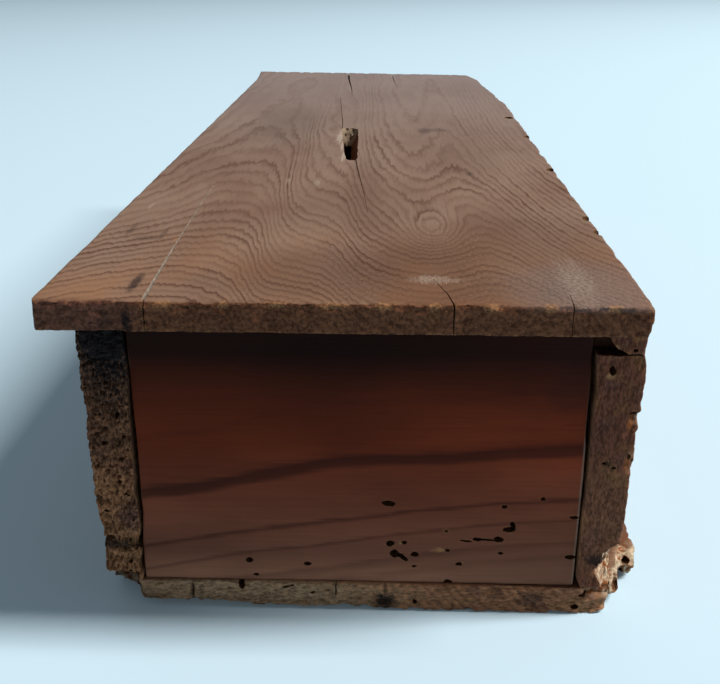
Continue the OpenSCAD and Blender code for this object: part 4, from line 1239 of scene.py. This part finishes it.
class ALMSBOX_OT_bottom_board(bpy.types.Operator):
    """Builds the bottom board with its crumbled near end and broken corners"""
    bl_idname = "almsbox.bottom_board"
    bl_label = "Bottom Board"

    def execute(self, context):
        box = context.scene.alms_box
        wear = box.wear
        low, high = board("bottom_board")
        rest, faces = gridded(low, high, BOTTOM_GRID)
        points = round_edges(rest, low, high, wear.arris / MM * (0.8 + 0.4 * wander(rest, 5, 71)))
        from_near = rest[:, Y] - low[Y]
        pits = wear.eaten_pits / MM
        for end, seed in ((low[Y], 72), (high[Y], 75)):
            # The clefts are deepest on the left
            clefts = crevices(rest, (2.4, 60, 1.3), 0.2, seed + 9) * np.clip((25 - rest[:, X]) / 20, 0.25, 1)
            press(points, Y, end, pits * pitted(rest, BOTTOM_END_PITS, seed) + 0.28 * pits * clefts, reach=8)
        foot = read_off(BOTTOM_FOOT, rest[:, X]) + 0.9 * eaten(rest, (3.5, 20, 60), -0.1, 70)
        press(points, Z, low[Z], foot * clamp(1 - from_near / 8), reach=5)
        press(points, X, high[X], 0.8 * eaten(rest, (60, 6, 3), -0.1, 79), reach=4)
        broken_back = self.broken_back(rest)
        press(points, Y, low[Y], broken_back, reach=60)
        piece = solid("bottom_board_worn", points, faces, self.wood(box.finish, low))
        fresh = clamp(broken_back / 2.5) * clamp(0.8 + 0.8 * wander(rest, 4, 74))
        paint_broken(piece, np.where(rest[:, X] > 0, fresh, 0.6 * fresh), rest)
        dust = eaten_pine("bore_dust", box.finish.bore_dust)
        heads = []
        for node, count, axis in BOTTOM_NAILS:
            for place in nail_places(node, count, axis):
                heads.append(((place[X], place[Y], low[Z]), NAIL_PIT, 0))
        holes = [(place, half, 0) for place, half in BOTTOM_END_HOLES]
        carve(piece, placed_bores("nail_pits", heads, wear, dust))
        carve(piece, placed_bores("bottom_galleries", holes, wear, dust))
        carve(piece, scattered_bores(piece, wear, dust, seed=80, share=0.8))
        show(piece, "box", "bottom_board")
        return {"FINISHED"}

    def broken_back(self, rest):
        """How far the near end is broken back: in rounded lumps, and in a notch by the right board's foot."""
        ragged = rest[:, X] + 0.5 * wander(rest, (2.0, 60, 1.6), 78)
        plan = read_off(BOTTOM_BREAK, ragged)
        rounded = 3 * np.abs((rest[:, Z] - BOTTOM_HALF) / BOTTOM_HALF) ** 4
        lumps = 1.6 * wander(rest, (2.2, 60, 2.4), 76) + 1.1 * wander(rest, (1.0, 60, 1.0), 77)
        notch = clamp((rest[:, Z] - 4.6) / 0.5) * clamp(ragged - 57.5) * clamp(64.5 - ragged)
        return plan + clamp(plan / 4) * (rounded + lumps) + 2.2 * notch

    def wood(self, finish, low):
        """Dry, unwaxed pine whose end grain crumbles in flat layers."""
        colours = (finish.dry_early, finish.dry_late, finish.dry_aged, finish.dry_arris, finish.dry_end)
        marks = marks_from(BOTTOM_MARKS, np.array((0, low[Y], 0)), finish)
        rings = round_rings(pith=(95, 0, 64), spacing=2.2)
        return pine("dry_pine_bottom", np.zeros(3), rings, colours, finish, FLAT_CRUMBS, marks,
                    roughness=0.78, wax=0.15)


def nail_places(node, count, axis):
    """Middles of the nails in a row, from the box of the row's CAD node."""
    low, high = board(node)
    places = np.repeat([(low + high) / 2], count, 0)
    places[:, axis] = np.linspace(low[axis] + NAIL_HEAD / 2, high[axis] - NAIL_HEAD / 2, count)
    return places


class ALMSBOX_OT_nails(bpy.types.Operator):
    """Builds the forged nails of the sides and the bottom"""
    bl_idname = "almsbox.nails"
    bl_label = "Nails"

    def execute(self, context):
        iron = rusted_iron(context.scene.alms_box.finish)
        for node, sense in SIDE_NAILS:
            low, high = board(node)
            places = nail_places(node, CORNER_NAILS, Z)
            places[:, X] = low[X] + NAIL_RISE if sense > 0 else high[X] - NAIL_RISE
            self.row(node, places, (0, sense * math.pi / 2, 0), high[X] - low[X] - NAIL_RISE, iron)
        for node, count, axis in BOTTOM_NAILS:
            low, high = board(node)
            places = nail_places(node, count, axis)
            places[:, Z] = low[Z] + NAIL_RISE
            self.row(node, places, (0, 0, 0), high[Z] - low[Z] - NAIL_RISE, iron)
        return {"FINISHED"}

    def row(self, node, places, turn, reach, iron):
        """One row of nails in place of its CAD node."""
        holder = points_with(node + "_forged", places, nail_turn=[turn] * len(places))
        grow(forged_nails_tree(), holder, Length=reach * MM, Shank=NAIL_SHANK * MM, Point=NAIL_POINT * MM,
             Head=NAIL_HEAD * MM, Rise=NAIL_RISE * MM, Material=iron)
        show(holder, "box", node)


class ALMSBOX_OT_hinges(bpy.types.Operator):
    """Gives the hinges' leaves, pins and tacks their rusted iron"""
    bl_idname = "almsbox.hinges"
    bl_label = "Hinges"

    def execute(self, context):
        iron = rusted_iron(context.scene.alms_box.finish)
        for name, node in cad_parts.items():
            if "hinge" in name:
                node.material_slots[0].link = "OBJECT"
                node.material_slots[0].material = iron
        return {"FINISHED"}


class ALMSBOX_OT_stage(bpy.types.Operator):
    """Sets the pale floor, the soft lamp, the even light and the camera"""
    bl_idname = "almsbox.stage"
    bl_label = "Stage"

    def execute(self, context):
        scene = context.scene
        stage = scene.alms_box.stage
        scene.view_settings.view_transform = "Standard"
        self.floor(stage)
        self.light(scene, stage)
        camera = bpy.data.cameras.new("photo_eye")
        camera.sensor_fit = "HORIZONTAL"
        camera.sensor_width = 36
        camera.lens = stage.lens
        eye = link("photo_eye", camera)
        tilt, roll, turn = stage.turn
        eye.matrix_world = (Matrix.Translation(stage.eye) @ Matrix.Rotation(turn, 4, "Z")
                            @ Matrix.Rotation(tilt, 4, "X") @ Matrix.Rotation(roll, 4, "Z"))
        scene.camera = eye
        return {"FINISHED"}

    def floor(self, stage):
        """A wide sheet of pale matt paper, whose own colour shows a little through its shade."""
        mesh = bpy.data.meshes.new("studio_floor")
        mesh.from_pydata([(-8, -8, 0), (8, -8, 0), (8, 8, 0), (-8, 8, 0)], [], [(0, 1, 2, 3)])
        material = bpy.data.materials.new("matt_paper")
        material.use_nodes = True
        tree = material.node_tree
        rays = add(tree, "ShaderNodeLightPath").node.outputs
        seen = rays["Is Camera Ray"]
        for ray in ("Is Glossy Ray", "Is Transmission Ray"):
            seen = add(tree, "ShaderNodeMath", {0: seen, 1: rays[ray]}, operation="MAXIMUM")
        glow = add(tree, "ShaderNodeMath", {0: seen, 1: stage.floor_glow}, operation="MULTIPLY")
        feed(tree, tree.nodes["Principled BSDF"],
             {"Base Color": stage.floor, "Roughness": 0.9, "Specular IOR Level": 0.1,
              "Emission Color": stage.floor, "Emission Strength": glow})
        mesh.materials.append(material)
        link("studio_floor", mesh)

    def light(self, scene, stage):
        """A soft lamp on the right, and even light that is brighter behind the box."""
        lamp = bpy.data.lights.new("window", "AREA")
        lamp.shape = "RECTANGLE"
        lamp.size = stage.key_width
        lamp.size_y = stage.key_height
        lamp.energy = stage.key_power
        lamp.color = linear("#fff8f0")[:3]
        window = link("window", lamp)
        place = Vector(stage.key_place)
        aim = (-place).to_track_quat("-Z", "Y").to_matrix().to_4x4()
        window.matrix_world = Matrix.Translation(place) @ aim
        world = bpy.data.worlds.new("studio")
        scene.world = world
        world.use_nodes = True
        tree = world.node_tree
        way = add(tree, "ShaderNodeTexCoord").node.outputs["Generated"]
        back = add(tree, "ShaderNodeSeparateXYZ", {0: way}).node.outputs["Y"]
        strength = add(tree, "ShaderNodeMapRange",
                       {0: back, 1: -0.5, 2: 0.7, 3: stage.sky_front, 4: stage.sky_back},
                       interpolation_type="SMOOTHSTEP")
        feed(tree, tree.nodes["Background"], {"Color": linear("#e9f3fa"), "Strength": strength})


class ALMSBOX_PT_panel(bpy.types.Panel):
    """Lists the steps and settings of the alms box"""
    bl_idname = "ALMSBOX_PT_panel"
    bl_label = "Alms Box"
    bl_space_type = "VIEW_3D"
    bl_region_type = "UI"
    bl_category = "Alms Box"

    def draw(self, context):
        box = context.scene.alms_box
        for step in STEPS:
            self.layout.operator(step.bl_idname)
        for group in (box.wear, box.slot, box.finish, box.stage):
            column = self.layout.box().column()
            for name in group.bl_rna.properties.keys():
                if name not in ("rna_type", "name"):
                    column.prop(group, name)


STEPS = (ALMSBOX_OT_lid_board, ALMSBOX_OT_side_boards, ALMSBOX_OT_end_panels, ALMSBOX_OT_bottom_board,
         ALMSBOX_OT_nails, ALMSBOX_OT_hinges, ALMSBOX_OT_stage)
CLASSES = (AlmsBoxWear, AlmsBoxSlot, AlmsBoxFinish, AlmsBoxStage, AlmsBoxSettings, *STEPS, ALMSBOX_PT_panel)


def register():
    """Registers the classes and the scene's settings."""
    for item in CLASSES:
        bpy.utils.register_class(item)
    bpy.types.Scene.alms_box = bpy.props.PointerProperty(type=AlmsBoxSettings)


def unregister():
    """Removes the settings and the classes."""
    del bpy.types.Scene.alms_box
    for item in reversed(CLASSES):
        bpy.utils.unregister_class(item)


def main():
    register()
    bpy.ops.almsbox.lid_board()
    bpy.ops.almsbox.side_boards()
    bpy.ops.almsbox.end_panels()
    bpy.ops.almsbox.bottom_board()
    bpy.ops.almsbox.nails()
    bpy.ops.almsbox.hinges()
    bpy.ops.almsbox.stage()


if __name__ == "__main__":
    main()
